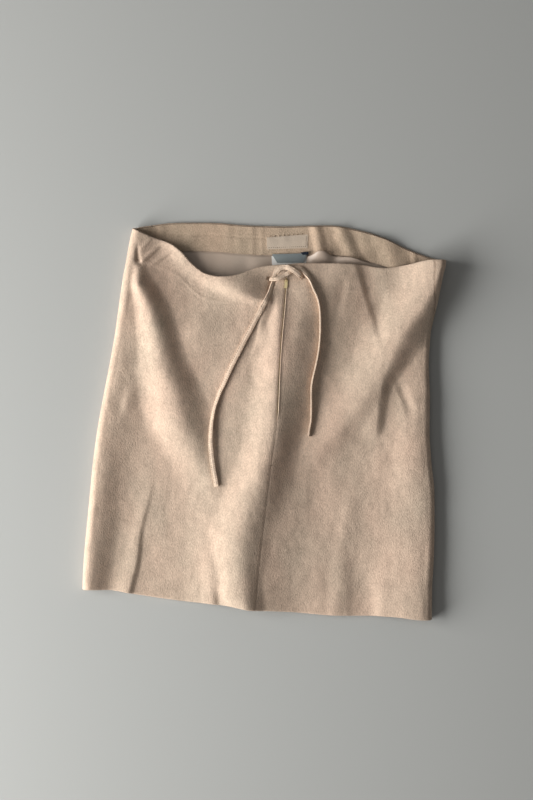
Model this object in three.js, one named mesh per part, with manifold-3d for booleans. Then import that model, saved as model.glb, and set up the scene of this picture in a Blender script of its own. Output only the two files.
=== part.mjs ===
// A suede mini skirt with a tie front, lying flat on its back with its mouth open.
// Millimetres, +Z up, waist towards +Y, the wearer's right side towards -X.
// The skirt is one flattened tube of cloth. Each panel is a part of its rings, from side fold to side fold.
import * as THREE from 'three';
import { mergeVertices } from 'three/addons/utils/BufferGeometryUtils.js';
import Module from 'manifold-3d';

const wasm = await Module();
wasm.setup();

// Driving sizes
const suedeThickness = 1.2;
const innerThickness = 1.0;
const seamGap = 0.3;
const layerGap = 0.3;
const leftFoldRadius = 7.0;
const rightFoldRadius = 6.0;
const leftSeamUnder = 25.0;
const foldZone = 20.0;
const foldFade = 12.0;
const facingEnd = 0.073;
const liningEnd = 0.91;
const zipEnd = 0.575;
const zipGapHalf = 0.8;
const tapeHalf = 8.85;
const tapeInner = 4.8;
const facingFromFront = 13.0;
const facingColumns = 56;
const tieDiameter = 4.4;
const tieHoleDiameter = 8.8;
const tieClearance = 0.5;

// The side folds seen from above: a row for each level, where the cloth turns under
const sideRows = [
  { y: 222, left: -149.5, right: 208.5 },
  { y: 200, left: -154.3, right: 208.3 },
  { y: 181, left: -157.6, right: 208.0 },
  { y: 166, left: -160.5, right: 204.5 },
  { y: 139, left: -164.5, right: 199.0 },
  { y: 102, left: -169.6, right: 191.0 },
  { y: 66, left: -175.8, right: 188.8 },
  { y: 29, left: -183.0, right: 190.0 },
  { y: -8, left: -189.7, right: 189.6 },
  { y: -45, left: -194.8, right: 191.6 },
  { y: -82, left: -198.5, right: 195.2 },
  { y: -118, left: -201.9, right: 195.4 },
  { y: -155, left: -205.3, right: 194.6 },
  { y: -192, left: -207.0, right: 192.6 },
  { y: -227, left: -207.0, right: 192.2 },
];

// The waist edge of the back and of the fronts
const waistRows = [
  { x: -151, back: 220.0, front: 220.0 },
  { x: -131, back: 223.1, front: 211.0 },
  { x: -106, back: 226.2, front: 201.3 },
  { x: -94, back: 226.6, front: 192.0 },
  { x: -82, back: 226.6, front: 178.7 },
  { x: -66, back: 226.6, front: 167.4 },
  { x: -50, back: 226.0, front: 164.2 },
  { x: -33, back: 224.5, front: 165.8 },
  { x: -9, back: 223.1, front: 173.7 },
  { x: 6, back: 222.7, front: 177.1 },
  { x: 27, back: 222.4, front: 179.4 },
  { x: 47, back: 223.1, front: 182.0 },
  { x: 76, back: 223.4, front: 181.7 },
  { x: 112, back: 217.4, front: 180.0 },
  { x: 138, back: 209.3, front: 176.0 },
  { x: 163, back: 197.2, front: 178.3 },
  { x: 192, back: 186.2, front: 183.0 },
  { x: 207, back: 182.9, front: 182.9 },
];

// The hem, the same on the back and the fronts
const hemRows = [
  { x: -207, y: -192.0 },
  { x: -179, y: -192.4 },
  { x: -152, y: -196.7 },
  { x: -97, y: -204.7 },
  { x: -41, y: -210.5 },
  { x: -14, y: -215.0 },
  { x: 28, y: -217.4 },
  { x: 83, y: -221.8 },
  { x: 124, y: -222.2 },
  { x: 152, y: -223.4 },
  { x: 180, y: -226.4 },
  { x: 193, y: -226.6 },
];

// The centre front line
const centreRows = [
  { y: 180, x: 27.0 },
  { y: 156, x: 25.5 },
  { y: 123, x: 22.9 },
  { y: 91, x: 19.9 },
  { y: 53, x: 17.6 },
  { y: 4, x: 15.4 },
  { y: -50, x: 8.6 },
  { y: -106, x: 2.1 },
  { y: -162, x: -4.6 },
  { y: -217, x: -9.6 },
];

// The right side seam, from on the front at the waist to under the fold at the hem
const rightSeamRows = [
  { v: 0.0, e: 16.4 },
  { v: 0.1, e: 8.0 },
  { v: 0.2, e: 0.0 },
  { v: 0.35, e: -5.0 },
  { v: 1.0, e: -5.0 },
];

// Folds that run down the fronts: the crest's place, its height, and how far each flank reaches
const folds = [
  {
    name: 'left_waist_ridge',
    rows: [
      { y: 183, x: -146, height: 2, left: 8, right: 12 },
      { y: 139, x: -136, height: 10, left: 21, right: 30 },
      { y: 93, x: -120, height: 14, left: 23, right: 26 },
      { y: 47, x: -105, height: 14, left: 38, right: 31 },
      { y: 1, x: -92, height: 11, left: 39, right: 25 },
      { y: -33, x: -78, height: 6, left: 36, right: 22 },
      { y: -68, x: -60, height: 2, left: 34, right: 22 },
      { y: -91, x: -48, height: 0, left: 30, right: 22 },
    ],
  },
  {
    name: 'left_edge_valley',
    rows: [
      { y: 105, x: -156, height: 0, left: 8, right: 14 },
      { y: 24, x: -167, height: -3, left: 14, right: 18 },
      { y: -45, x: -170, height: -4, left: 18, right: 24 },
      { y: -114, x: -174, height: -5, left: 22, right: 26 },
      { y: -192, x: -179, height: -6, left: 22, right: 26 },
    ],
  },
  {
    name: 'left_hem_crease',
    rows: [
      { y: -75, x: -125, height: 0, left: 20, right: 6 },
      { y: -97, x: -135, height: 3, left: 22, right: 7 },
      { y: -125, x: -141, height: 4.5, left: 23, right: 8 },
      { y: -160, x: -145, height: 5, left: 23, right: 8 },
      { y: -197, x: -153, height: 5.5, left: 23, right: 8 },
    ],
  },
  {
    name: 'centre_ridge',
    rows: [
      { y: 140, x: 15, height: 0, left: 14, right: 14 },
      { y: 105, x: 16, height: 8, left: 18, right: 18 },
      { y: 59, x: 15, height: 11, left: 29, right: 25 },
      { y: 13, x: 9, height: 13, left: 39, right: 30 },
      { y: -22, x: 1, height: 13, left: 44, right: 39 },
      { y: -56, x: -8, height: 12, left: 41, right: 44 },
      { y: -91, x: -16, height: 11, left: 41, right: 42 },
      { y: -137, x: -22, height: 10, left: 46, right: 38 },
      { y: -183, x: -23, height: 10, left: 44, right: 34 },
      { y: -215, x: -20, height: 11, left: 30, right: 28 },
    ],
  },
  {
    name: 'tie_side_ridge',
    rows: [
      { y: 156, x: 46, height: 0, left: 8, right: 28 },
      { y: 139, x: 46, height: 3, left: 9, right: 30 },
      { y: 110, x: 45, height: 4, left: 9, right: 30 },
      { y: 82, x: 44, height: 3, left: 9, right: 30 },
      { y: 36, x: 41, height: 0, left: 9, right: 28 },
    ],
  },
  {
    name: 'right_waist_crease',
    rows: [
      { y: 162, x: 109, height: 0, left: 6, right: 12 },
      { y: 139, x: 117, height: -2.5, left: 7, right: 16 },
      { y: 116, x: 125, height: -3, left: 7, right: 16 },
      { y: 97, x: 132, height: 0, left: 7, right: 14 },
    ],
  },
  {
    name: 'right_diagonal_ridge',
    rows: [
      { y: 165, x: 198, height: 1, left: 40, right: 10 },
      { y: 139, x: 184, height: 7, left: 40, right: 14 },
      { y: 116, x: 170, height: 10, left: 40, right: 24 },
      { y: 93, x: 155, height: 13, left: 36, right: 32 },
      { y: 70, x: 144, height: 14, left: 40, right: 32 },
      { y: 47, x: 135, height: 14, left: 50, right: 20 },
      { y: 18, x: 129, height: 11, left: 52, right: 14 },
      { y: -10, x: 126, height: 6, left: 40, right: 11 },
      { y: -36, x: 124, height: 0, left: 40, right: 11 },
    ],
  },
  {
    name: 'right_inner_ridge',
    rows: [
      { y: 30, x: 113, height: 0, left: 28, right: 30 },
      { y: 1, x: 101, height: 5, left: 30, right: 32 },
      { y: -22, x: 83, height: 5, left: 30, right: 34 },
      { y: -45, x: 62, height: 2.5, left: 26, right: 34 },
      { y: -68, x: 47, height: 0, left: 26, right: 30 },
    ],
  },
  {
    name: 'right_edge_ridge',
    rows: [
      { y: 41, x: 172, height: 0, left: 30, right: 14 },
      { y: 1, x: 173, height: 4, left: 39, right: 14 },
      { y: -91, x: 175, height: 5, left: 39, right: 15 },
      { y: -183, x: 171, height: 6.5, left: 36, right: 18 },
      { y: -227, x: 168, height: 7, left: 32, right: 20 },
    ],
  },
  {
    name: 'right_hem_valley',
    rows: [
      { y: -154, x: 108, height: 0, left: 20, right: 24 },
      { y: -189, x: 114, height: -3, left: 22, right: 24 },
      { y: -222, x: 115, height: -4, left: 22, right: 24 },
    ],
  },
];

// The raised lip of the left front's waist, which runs across: above is towards the waist
const lipRows = [
  { x: -131, y: 209, height: 2, below: 12, above: 10 },
  { x: -114, y: 201, height: 8, below: 18, above: 10 },
  { x: -97, y: 192, height: 13, below: 24, above: 10 },
  { x: -74, y: 175, height: 16, below: 26, above: 12 },
  { x: -51, y: 162, height: 14, below: 22, above: 14 },
  { x: -28, y: 152, height: 11, below: 19, above: 20 },
  { x: -2, y: 138, height: 6, below: 14, above: 26 },
  { x: 14, y: 130, height: 0, below: 12, above: 24 },
];

// Puckers across the back facing: where each stands, its lean down the facing, and its height
const puckerRows = [
  { x: -13, lean: 0, height: 0.9, half: 5 },
  { x: 59, lean: 1, height: 1.8, half: 6 },
  { x: 68, lean: 8, height: 2.2, half: 8 },
  { x: 90, lean: 10, height: 2.2, half: 9 },
  { x: 112, lean: 10, height: 1.4, half: 9 },
  { x: 134, lean: 8, height: 1.2, half: 9 },
  { x: 151, lean: 4, height: 1.6, half: 4 },
];

// The tie's two strands: the route over the fronts, and how far the strand is over where it would rest
const leftTailRoute = [
  { x: 41.4, y: 165.6, over: -6.4 },
  { x: 41.3, y: 165.7, over: -2.4 },
  { x: 39.8, y: 166.7, over: 1 },
  { x: 37.3, y: 168.4, over: 3.8 },
  { x: 34.5, y: 170.4, over: 5.3 },
  { x: 31.6, y: 172.4, over: 5.5 },
  { x: 28.0, y: 175.0, over: 4 },
  { x: 23.0, y: 176.0, over: 1.2 },
  { x: 17.8, y: 174.6, over: 0.1 },
  { x: 14.4, y: 171.2, over: 0 },
  { x: 13.0, y: 166.2, over: 0 },
  { x: 11.0, y: 158.4, over: 0 },
  { x: 5.8, y: 143.8, over: 0 },
  { x: -3.8, y: 123.4, over: 0 },
  { x: -19.0, y: 90.4, over: 0 },
  { x: -28.0, y: 70.0, over: 0 },
  { x: -45.1, y: 39.3, over: 0 },
  { x: -54.3, y: 18.9, over: 0 },
  { x: -58.4, y: -1.7, over: 0 },
  { x: -59.9, y: -22.3, over: 0 },
  { x: -58.9, y: -42.8, over: 0 },
  { x: -55.9, y: -63.3, over: 0 },
  { x: -53.8, y: -74.8, over: 0 },
];
const rightTailRoute = [
  { x: 6.3, y: 162.2, over: -6.4 },
  { x: 6.3, y: 162.2, over: -2.2 },
  { x: 6.6, y: 162.2, over: 1.6 },
  { x: 8.6, y: 162.2, over: 4.6 },
  { x: 12.2, y: 162.3, over: 5.6 },
  { x: 16.0, y: 162.9, over: 4.2 },
  { x: 20.2, y: 164.4, over: 1.6 },
  { x: 25.3, y: 167.8, over: 0.2 },
  { x: 31.1, y: 171.9, over: 0 },
  { x: 36.8, y: 174.4, over: 0 },
  { x: 42.0, y: 174.2, over: 0 },
  { x: 47.8, y: 170.8, over: 0 },
  { x: 52.4, y: 163.6, over: 0 },
  { x: 56.1, y: 155.7, over: 0 },
  { x: 61.0, y: 140.3, over: 0 },
  { x: 64.2, y: 123.4, over: 0 },
  { x: 64.9, y: 107.0, over: 0 },
  { x: 62.8, y: 87.0, over: 0 },
  { x: 59.6, y: 67.9, over: 0 },
  { x: 56.9, y: 50.6, over: 0 },
  { x: 55.0, y: 37.1, over: 0 },
  { x: 54.3, y: 24.2, over: 0 },
  { x: 54.9, y: 10.7, over: 0 },
  { x: 54.6, y: -2.3, over: 0 },
  { x: 52.3, y: -17.6, over: 0 },
];
const leftTailHole = { x: 41.4, y: 165.6 };
const rightTailHole = { x: 6.3, y: 162.2 };

// The zip's slider and pull tab, in a frame on the centre front line
const pull = {
  y: 161.0, rise: 1.75, width: 3.5, length: 9.6, thickness: 0.8,
  bar: 0.4, holeHalf: 0.8, holeEnd: 1.95,
  bailInner: 0.8, bailOuter: 1.5, bailWidth: 0.9,
  plateTop: -1.35, plateThickness: 1.6, plateWidth: 8.2, plateLength: 10.0, plateDown: 1.0,
};

// Labels inside the back of the waist: corners in plan
const labelCorners = [
  { x: 3.2, y: 210.8 }, { x: 50.9, y: 214.4 }, { x: 50.3, y: 198.6 }, { x: 3.6, y: 197.2 },
];
const careCorners = [
  { x: 9.0, y: 189.6 }, { x: 49.5, y: 190.6 }, { x: 47.0, y: 160.0 }, { x: 11.0, y: 160.0 },
];
const careFoldCorners = [
  { x: 9.5, y: 191.4 }, { x: 49.8, y: 192.6 }, { x: 45.4, y: 181.7 }, { x: 15.5, y: 181.7 },
];
const sizeTabCorners = [
  { x: 42.3, y: 193.4 }, { x: 51.6, y: 194.6 }, { x: 51.3, y: 191.0 }, { x: 44.7, y: 190.8 },
];

// Grid rows from waist to hem, those of the facing first
const rows = [];
for (let i = 0; i <= 3; i++) rows.push((facingEnd * i) / 3);
const lowerRows = 26;
for (let i = 1; i <= lowerRows; i++) rows.push(facingEnd + ((1 - facingEnd) * i) / lowerRows);
const facingRow = 3;

const lerp = (a, b, t) => a + (b - a) * t;
const clamp = (a, lo, hi) => Math.min(hi, Math.max(lo, a));
const smoothstep = (t) => {
  const c = clamp(t, 0, 1);
  return c * c * (3 - 2 * c);
};

// A smooth value from a table, with no overshoot between its rows
function smooth(table, key, at, column) {
  const n = table.length;
  const rising = table[n - 1][key] > table[0][key];
  const get = (i) => (rising ? table[i] : table[n - 1 - i]);
  if (at <= get(0)[key]) return get(0)[column];
  if (at >= get(n - 1)[key]) return get(n - 1)[column];
  let k = 0;
  while (at > get(k + 1)[key]) k += 1;
  const secant = (i) => (get(i + 1)[column] - get(i)[column]) / (get(i + 1)[key] - get(i)[key]);
  const slope = (i) => {
    if (i === 0) return secant(0);
    if (i === n - 1) return secant(n - 2);
    const a = secant(i - 1);
    const b = secant(i);
    return a * b <= 0 ? 0 : (2 * a * b) / (a + b);
  };
  const span = get(k + 1)[key] - get(k)[key];
  const t = (at - get(k)[key]) / span;
  const h00 = (1 + 2 * t) * (1 - t) * (1 - t);
  const h10 = t * (1 - t) * (1 - t);
  const h01 = t * t * (3 - 2 * t);
  const h11 = t * t * (t - 1);
  return h00 * get(k)[column] + h10 * span * slope(k) + h01 * get(k + 1)[column] + h11 * span * slope(k + 1);
}

const hump = (d, reach) => (Math.abs(d) >= reach ? 0 : 0.5 * (1 + Math.cos((Math.PI * d) / reach)));
const radius = { left: leftFoldRadius, right: rightFoldRadius };
const inward = { left: 1, right: -1 };

function rowY(x, v, face) {
  const top = smooth(waistRows, 'x', x, face);
  return lerp(top, smooth(hemRows, 'x', x, 'y'), v);
}

// Where the ring at v turns under, on one side, kept once found
const foundEdges = { left: new Map(), right: new Map() };
function edgeX(side, v) {
  const known = foundEdges[side].get(v);
  if (known !== undefined) return known;
  let x = side === 'left' ? -170 : 195;
  for (let i = 0; i < 12; i++) x = smooth(sideRows, 'y', rowY(x, v, 'back'), side);
  foundEdges[side].set(v, x);
  return x;
}

function centreX(v) {
  let x = 20;
  for (let i = 0; i < 12; i++) x = smooth(centreRows, 'y', rowY(x, v, 'front'), 'x');
  return x;
}

// How far the folds and the lip raise the fronts over the flat tube
function relief(x, y) {
  let z = 0;
  for (const fold of folds) {
    const first = fold.rows[0];
    const last = fold.rows[fold.rows.length - 1];
    if (y > first.y || (y < last.y && last.height === 0)) continue;
    const d = x - smooth(fold.rows, 'y', y, 'x');
    const reach = smooth(fold.rows, 'y', y, d < 0 ? 'left' : 'right');
    z += smooth(fold.rows, 'y', y, 'height') * hump(d, reach);
  }
  const firstLip = lipRows[0];
  const start = smoothstep((x - firstLip.x + 14) / 14);
  const dy = y - smooth(lipRows, 'x', x, 'y');
  z += start * smooth(lipRows, 'x', x, 'height') * hump(dy, smooth(lipRows, 'x', x, dy < 0 ? 'below' : 'above'));
  return z;
}

// A point on the middle of the cloth: e runs round the ring from the side's fold, positive over the front
function ringPoint(side, e, v) {
  const r = radius[side];
  const quarter = (Math.PI * r) / 2;
  const face = e >= 0 ? 'front' : 'back';
  const edge = edgeX(side, v);
  const base = suedeThickness / 2;
  if (Math.abs(e) <= quarter) {
    const x = edge + inward[side] * r * (1 - Math.cos(e / r));
    return new THREE.Vector3(x, rowY(x, v, face), base + r + r * Math.sin(e / r));
  }
  const distance = r + Math.abs(e) - quarter;
  const x = edge + inward[side] * distance;
  const y = rowY(x, v, face);
  if (e < 0) return new THREE.Vector3(x, y, base);
  return new THREE.Vector3(x, y, frontHeight(x, y, v));
}

function frontHeight(x, y, v) {
  const left = edgeX('left', v);
  const right = edgeX('right', v);
  const t = clamp((x - left) / (right - left), 0, 1);
  const base = suedeThickness / 2 + 2 * lerp(leftFoldRadius, rightFoldRadius, t);
  const fromFold = Math.min(x - left - leftFoldRadius, right - rightFoldRadius - x);
  return base + relief(x, y) * smoothstep(fromFold / foldFade);
}

function ringNormal(side, e, v) {
  const de = 0.4;
  const dv = 0.0015;
  const v0 = clamp(v - dv, 0, 1);
  const v1 = clamp(v + dv, 0, 1);
  const along = ringPoint(side, e + de, v).sub(ringPoint(side, e - de, v));
  const down = ringPoint(side, e, v1).sub(ringPoint(side, e, v0));
  const normal = new THREE.Vector3().crossVectors(along, down).normalize();
  return normal.multiplyScalar(-inward[side]);
}

// The ring distance of a plan x on the front
function ringDistance(side, x, v) {
  const r = radius[side];
  return Math.abs(x - edgeX(side, v)) - r + (Math.PI * r) / 2;
}

// Columns as functions of v that give the side and the ring distance
const atDistance = (side, e) => () => ({ side, e });
const fromCentre = (side, offset) => (v) => {
  const half = offset === 0 ? (v < zipEnd ? zipGapHalf : seamGap / 2) : offset;
  const x = centreX(v) - inward[side] * half;
  return { side, e: ringDistance(side, x, v) };
};
const between = (first, last, t) => (v) => {
  const a = first(v);
  return { side: a.side, e: lerp(a.e, last(v).e, t) };
};
function spread(first, last, count, skipFirst) {
  const list = [];
  for (let i = skipFirst ? 1 : 0; i <= count; i++) list.push(between(first, last, i / count));
  return list;
}

const leftQuarter = (Math.PI * leftFoldRadius) / 2;
const leftArc = spread(atDistance('left', -leftQuarter), atDistance('left', leftQuarter), 6, false);
const leftFrontColumns = [
  atDistance('left', -leftSeamUnder),
  atDistance('left', (-leftSeamUnder - leftQuarter) / 2),
  ...leftArc,
  ...spread(atDistance('left', leftQuarter), atDistance('left', foldZone), 1, true),
  ...spread(atDistance('left', foldZone), fromCentre('left', facingFromFront), 17, true),
  fromCentre('left', tapeHalf),
  fromCentre('left', tapeInner),
  fromCentre('left', 0),
];
const rightSeam = (shift) => (v) => ({ side: 'right', e: smooth(rightSeamRows, 'v', v, 'e') + shift });
const rightFrontColumns = [
  fromCentre('right', 0),
  fromCentre('right', tapeInner),
  fromCentre('right', tapeHalf),
  ...spread(fromCentre('right', facingFromFront), atDistance('right', foldZone), 16, false),
  ...spread(atDistance('right', foldZone), rightSeam(seamGap / 2), 6, true),
];
// The back runs from its left seam, across the flat, round the right fold to the right seam
function backColumns(flatCount) {
  const start = (v) => ({ side: 'left', e: -leftSeamUnder - seamGap });
  const list = [];
  for (let i = 0; i <= flatCount; i++) {
    list.push((v) => {
      const a = edgeX('left', v) + leftFoldRadius + leftSeamUnder + seamGap - leftQuarter;
      const quarter = (Math.PI * rightFoldRadius) / 2;
      const b = edgeX('right', v) - rightFoldRadius - (foldZone - quarter);
      const x = lerp(a, b, i / flatCount);
      return { side: 'right', e: -(edgeX('right', v) - x - rightFoldRadius + quarter) };
    });
  }
  list[0] = start;
  list.push(...spread(atDistance('right', -foldZone), rightSeam(-seamGap / 2), 8, true));
  return list.reverse();
}

// The points and normals of a patch of the tube
function patch(columns, levels) {
  return levels.map((v) => columns.map((column) => {
    const { side, e } = column(v);
    return { p: ringPoint(side, e, v), n: ringNormal(side, e, v) };
  }));
}

// A closed wall on a patch, between two distances from its middle
function wall(grid, low, high, keep = () => true, lift = () => 0) {
  const positions = [];
  const at = (i, j, distance) => {
    const { p, n } = grid[i][j];
    return p.clone().addScaledVector(n, distance + lift(p));
  };
  const quad = (a, b, c, d) => {
    for (const q of [a, b, c, a, c, d]) positions.push(q.x, q.y, q.z);
  };
  const rowCount = grid.length - 1;
  const columnCount = grid[0].length - 1;
  const kept = (i, j) => i >= 0 && j >= 0 && i < rowCount && j < columnCount && keep(i, j);
  for (let i = 0; i < rowCount; i++) {
    for (let j = 0; j < columnCount; j++) {
      if (!kept(i, j)) continue;
      quad(at(i, j, high), at(i + 1, j, high), at(i + 1, j + 1, high), at(i, j + 1, high));
      quad(at(i, j, low), at(i, j + 1, low), at(i + 1, j + 1, low), at(i + 1, j, low));
      if (!kept(i - 1, j)) quad(at(i, j, low), at(i, j, high), at(i, j + 1, high), at(i, j + 1, low));
      if (!kept(i + 1, j)) {
        quad(at(i + 1, j + 1, low), at(i + 1, j + 1, high), at(i + 1, j, high), at(i + 1, j, low));
      }
      if (!kept(i, j - 1)) quad(at(i + 1, j, low), at(i + 1, j, high), at(i, j, high), at(i, j, low));
      if (!kept(i, j + 1)) {
        quad(at(i, j + 1, low), at(i, j + 1, high), at(i + 1, j + 1, high), at(i + 1, j + 1, low));
      }
    }
  }
  const geometry = new THREE.BufferGeometry();
  geometry.setAttribute('position', new THREE.Float32BufferAttribute(positions, 3));
  return mergeVertices(geometry, 1e-4);
}

// Solids for cutting and joining
function toManifold(geometry) {
  const bare = geometry.clone();
  bare.deleteAttribute('normal');
  bare.deleteAttribute('uv');
  const merged = mergeVertices(bare, 1e-4);
  const mesh = new wasm.Mesh({
    numProp: 3,
    vertProperties: Float32Array.from(merged.attributes.position.array),
    triVerts: Uint32Array.from(merged.index.array),
  });
  return new wasm.Manifold(mesh);
}

function fromManifold(solid) {
  const mesh = solid.getMesh();
  const geometry = new THREE.BufferGeometry();
  geometry.setAttribute('position', new THREE.BufferAttribute(Float32Array.from(mesh.vertProperties), 3));
  geometry.setIndex(new THREE.BufferAttribute(Uint32Array.from(mesh.triVerts), 1));
  return geometry;
}

function holeCutter(hole) {
  const cylinder = new THREE.CylinderGeometry(tieHoleDiameter / 2, tieHoleDiameter / 2, 60, 16);
  cylinder.rotateX(Math.PI / 2);
  cylinder.translate(hole.x, hole.y, 34);
  return toManifold(cylinder);
}

const cutHole = (geometry, hole) => fromManifold(toManifold(geometry).subtract(holeCutter(hole)));

// A flat piece from its corners in plan
function plate(corners, bottom, thickness) {
  const shape = new THREE.Shape(corners.map((c) => new THREE.Vector2(c.x, c.y)));
  const geometry = new THREE.ExtrudeGeometry(shape, { depth: thickness, bevelEnabled: false });
  geometry.translate(0, 0, bottom);
  return geometry;
}

// The row parameter of a plan point on the fronts
function levelOf(x, y) {
  const top = smooth(waistRows, 'x', x, 'front');
  return clamp((y - top) / (smooth(hemRows, 'x', x, 'y') - top), 0, 1);
}

function frontSurface(x, y) {
  return frontHeight(x, y, levelOf(x, y));
}

// The height at which a strand's centre rests on the fronts, found by lowering a ball onto them
const caster = new THREE.Raycaster();
const downward = new THREE.Vector3(0, 0, -1);
function restHeight(x, y) {
  const ball = tieDiameter / 2 + tieClearance;
  let height = -Infinity;
  for (const share of [0, 0.35, 0.65, 0.9]) {
    const count = share === 0 ? 1 : 10;
    for (let i = 0; i < count; i++) {
      const a = (2 * Math.PI * i) / count;
      const place = new THREE.Vector3(x + share * ball * Math.cos(a), y + share * ball * Math.sin(a), 80);
      caster.set(place, downward);
      const hit = caster.intersectObjects(cloth, false)[0];
      if (hit) height = Math.max(height, hit.point.z + ball * Math.sqrt(1 - share * share));
    }
  }
  return height;
}

// A strand of the tie along its route over the cloth
function strand(route) {
  const plan = new THREE.CatmullRomCurve3(route.map((q) => new THREE.Vector3(q.x, q.y, q.over)), false, 'centripetal');
  const spots = plan.getSpacedPoints(140);
  const rest = spots.map((q) => restHeight(q.x, q.y));
  const points = spots.map((q, i) => {
    const before = rest[Math.max(0, i - 1)];
    const after = rest[Math.min(rest.length - 1, i + 1)];
    return new THREE.Vector3(q.x, q.y, q.z + (before + 2 * rest[i] + after) / 4);
  });
  const path = new THREE.CatmullRomCurve3(points, false, 'centripetal');
  const section = new THREE.Shape();
  const sides = 10;
  for (let i = 0; i < sides; i++) {
    const a = (2 * Math.PI * i) / sides;
    const x = (tieDiameter / 2) * Math.cos(a);
    const y = (tieDiameter / 2) * Math.sin(a);
    if (i === 0) section.moveTo(x, y);
    else section.lineTo(x, y);
  }
  section.closePath();
  return new THREE.ExtrudeGeometry(section, { steps: 78, extrudePath: path, bevelEnabled: false, curveSegments: 1 });
}

// The frame of the zip's slider: X across the front, Y towards the waist, Z out of the cloth
function pullFrame() {
  const along = 3;
  const x = (y) => smooth(centreRows, 'y', y, 'x');
  const high = new THREE.Vector3(x(pull.y + along), pull.y + along, frontSurface(x(pull.y + along), pull.y + along));
  const lowY = pull.y - pull.length;
  const low = new THREE.Vector3(x(lowY), lowY, frontSurface(x(lowY), lowY));
  const yAxis = high.sub(low).normalize();
  const xAxis = new THREE.Vector3().crossVectors(yAxis, new THREE.Vector3(0, 0, 1)).normalize();
  const zAxis = new THREE.Vector3().crossVectors(xAxis, yAxis).normalize();
  const origin = new THREE.Vector3(x(pull.y), pull.y, frontSurface(x(pull.y), pull.y));
  return { origin, basis: new THREE.Matrix4().makeBasis(xAxis, yAxis, zAxis) };
}

function sliderGeometry() {
  const body = new THREE.BoxGeometry(pull.plateWidth, pull.plateLength, pull.plateThickness);
  body.translate(0, -pull.plateDown, pull.plateTop - pull.plateThickness / 2);
  const foot = pull.plateTop - 0.4;
  const bail = new THREE.Shape();
  bail.moveTo(-pull.bailOuter, foot);
  bail.lineTo(-pull.bailInner, foot);
  bail.lineTo(-pull.bailInner, pull.rise);
  bail.absarc(0, pull.rise, pull.bailInner, Math.PI, 0, true);
  bail.lineTo(pull.bailInner, foot);
  bail.lineTo(pull.bailOuter, foot);
  bail.lineTo(pull.bailOuter, pull.rise);
  bail.absarc(0, pull.rise, pull.bailOuter, 0, Math.PI, false);
  bail.closePath();
  const hoop = new THREE.ExtrudeGeometry(bail, { depth: pull.bailWidth, bevelEnabled: false, curveSegments: 10 });
  hoop.translate(0, 0, -pull.bailWidth / 2);
  // The hoop's plane is turned to run along the zip
  hoop.applyMatrix4(new THREE.Matrix4().makeBasis(
    new THREE.Vector3(0, 1, 0), new THREE.Vector3(0, 0, 1), new THREE.Vector3(1, 0, 0)));
  return fromManifold(toManifold(body).add(toManifold(hoop)));
}

function pullGeometry() {
  const half = pull.width / 2;
  const end = pull.length - half;
  const outline = new THREE.Shape();
  outline.moveTo(-half, pull.bar);
  outline.lineTo(-half, -end);
  outline.absarc(0, -end, half, Math.PI, 2 * Math.PI, false);
  outline.lineTo(half, pull.bar);
  outline.closePath();
  const hole = new THREE.Path();
  hole.moveTo(-pull.holeHalf, -pull.bar);
  hole.lineTo(pull.holeHalf, -pull.bar);
  hole.lineTo(pull.holeHalf, -pull.holeEnd);
  hole.lineTo(-pull.holeHalf, -pull.holeEnd);
  hole.closePath();
  outline.holes.push(hole);
  const geometry = new THREE.ExtrudeGeometry(outline, { depth: pull.thickness, bevelEnabled: false, curveSegments: 10 });
  geometry.translate(0, 0, -pull.thickness / 2);
  return geometry;
}

// Materials
const suede = new THREE.MeshStandardMaterial({ name: 'suede', color: 0xcbb9ab, roughness: 0.95, metalness: 0 });
const innerSuede = new THREE.MeshStandardMaterial({ name: 'inner_suede', color: 0xbfae9f, roughness: 0.95, metalness: 0 });
const lining = new THREE.MeshStandardMaterial({ name: 'lining', color: 0xd9cdbb, roughness: 0.45, metalness: 0 });
const labelCloth = new THREE.MeshStandardMaterial({ name: 'label', color: 0xe9e3d6, roughness: 0.6, metalness: 0 });
const careCloth = new THREE.MeshStandardMaterial({ name: 'care_label', color: 0xe6e6e4, roughness: 0.5, metalness: 0 });
const greyCloth = new THREE.MeshStandardMaterial({ name: 'grey_label', color: 0x9aa0a6, roughness: 0.6, metalness: 0 });
const navyCloth = new THREE.MeshStandardMaterial({ name: 'navy_tab', color: 0x2b3242, roughness: 0.7, metalness: 0 });
const tapeCloth = new THREE.MeshStandardMaterial({ name: 'zip_tape', color: 0xb9a696, roughness: 0.8, metalness: 0 });
const brass = new THREE.MeshStandardMaterial({ name: 'brass', color: 0xb08d4f, roughness: 0.35, metalness: 1 });

const group = new THREE.Group();
group.name = 'suede_mini_skirt';

function addMesh(name, geometry, material, parent = group) {
  const mesh = new THREE.Mesh(geometry, material);
  mesh.name = name;
  geometry.computeVertexNormals();
  parent.add(mesh);
  return mesh;
}

const half = suedeThickness / 2;
const innerHigh = -half - layerGap;
const innerLow = innerHigh - innerThickness;

// Panels
const leftGrid = patch(leftFrontColumns, rows);
const rightGrid = patch(rightFrontColumns, rows);
const facingRows = rows.slice(0, facingRow + 1);
const leftWall = wall(leftGrid, -half, half);
const rightWall = wall(rightGrid, -half, half);
const cloth = [new THREE.Mesh(leftWall, suede), new THREE.Mesh(rightWall, suede)];
addMesh('front_left', cutHole(leftWall, rightTailHole), suede);
addMesh('front_right', cutHole(rightWall, leftTailHole), suede);
addMesh('back', wall(patch(backColumns(12), rows), -half, half), suede);

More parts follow.
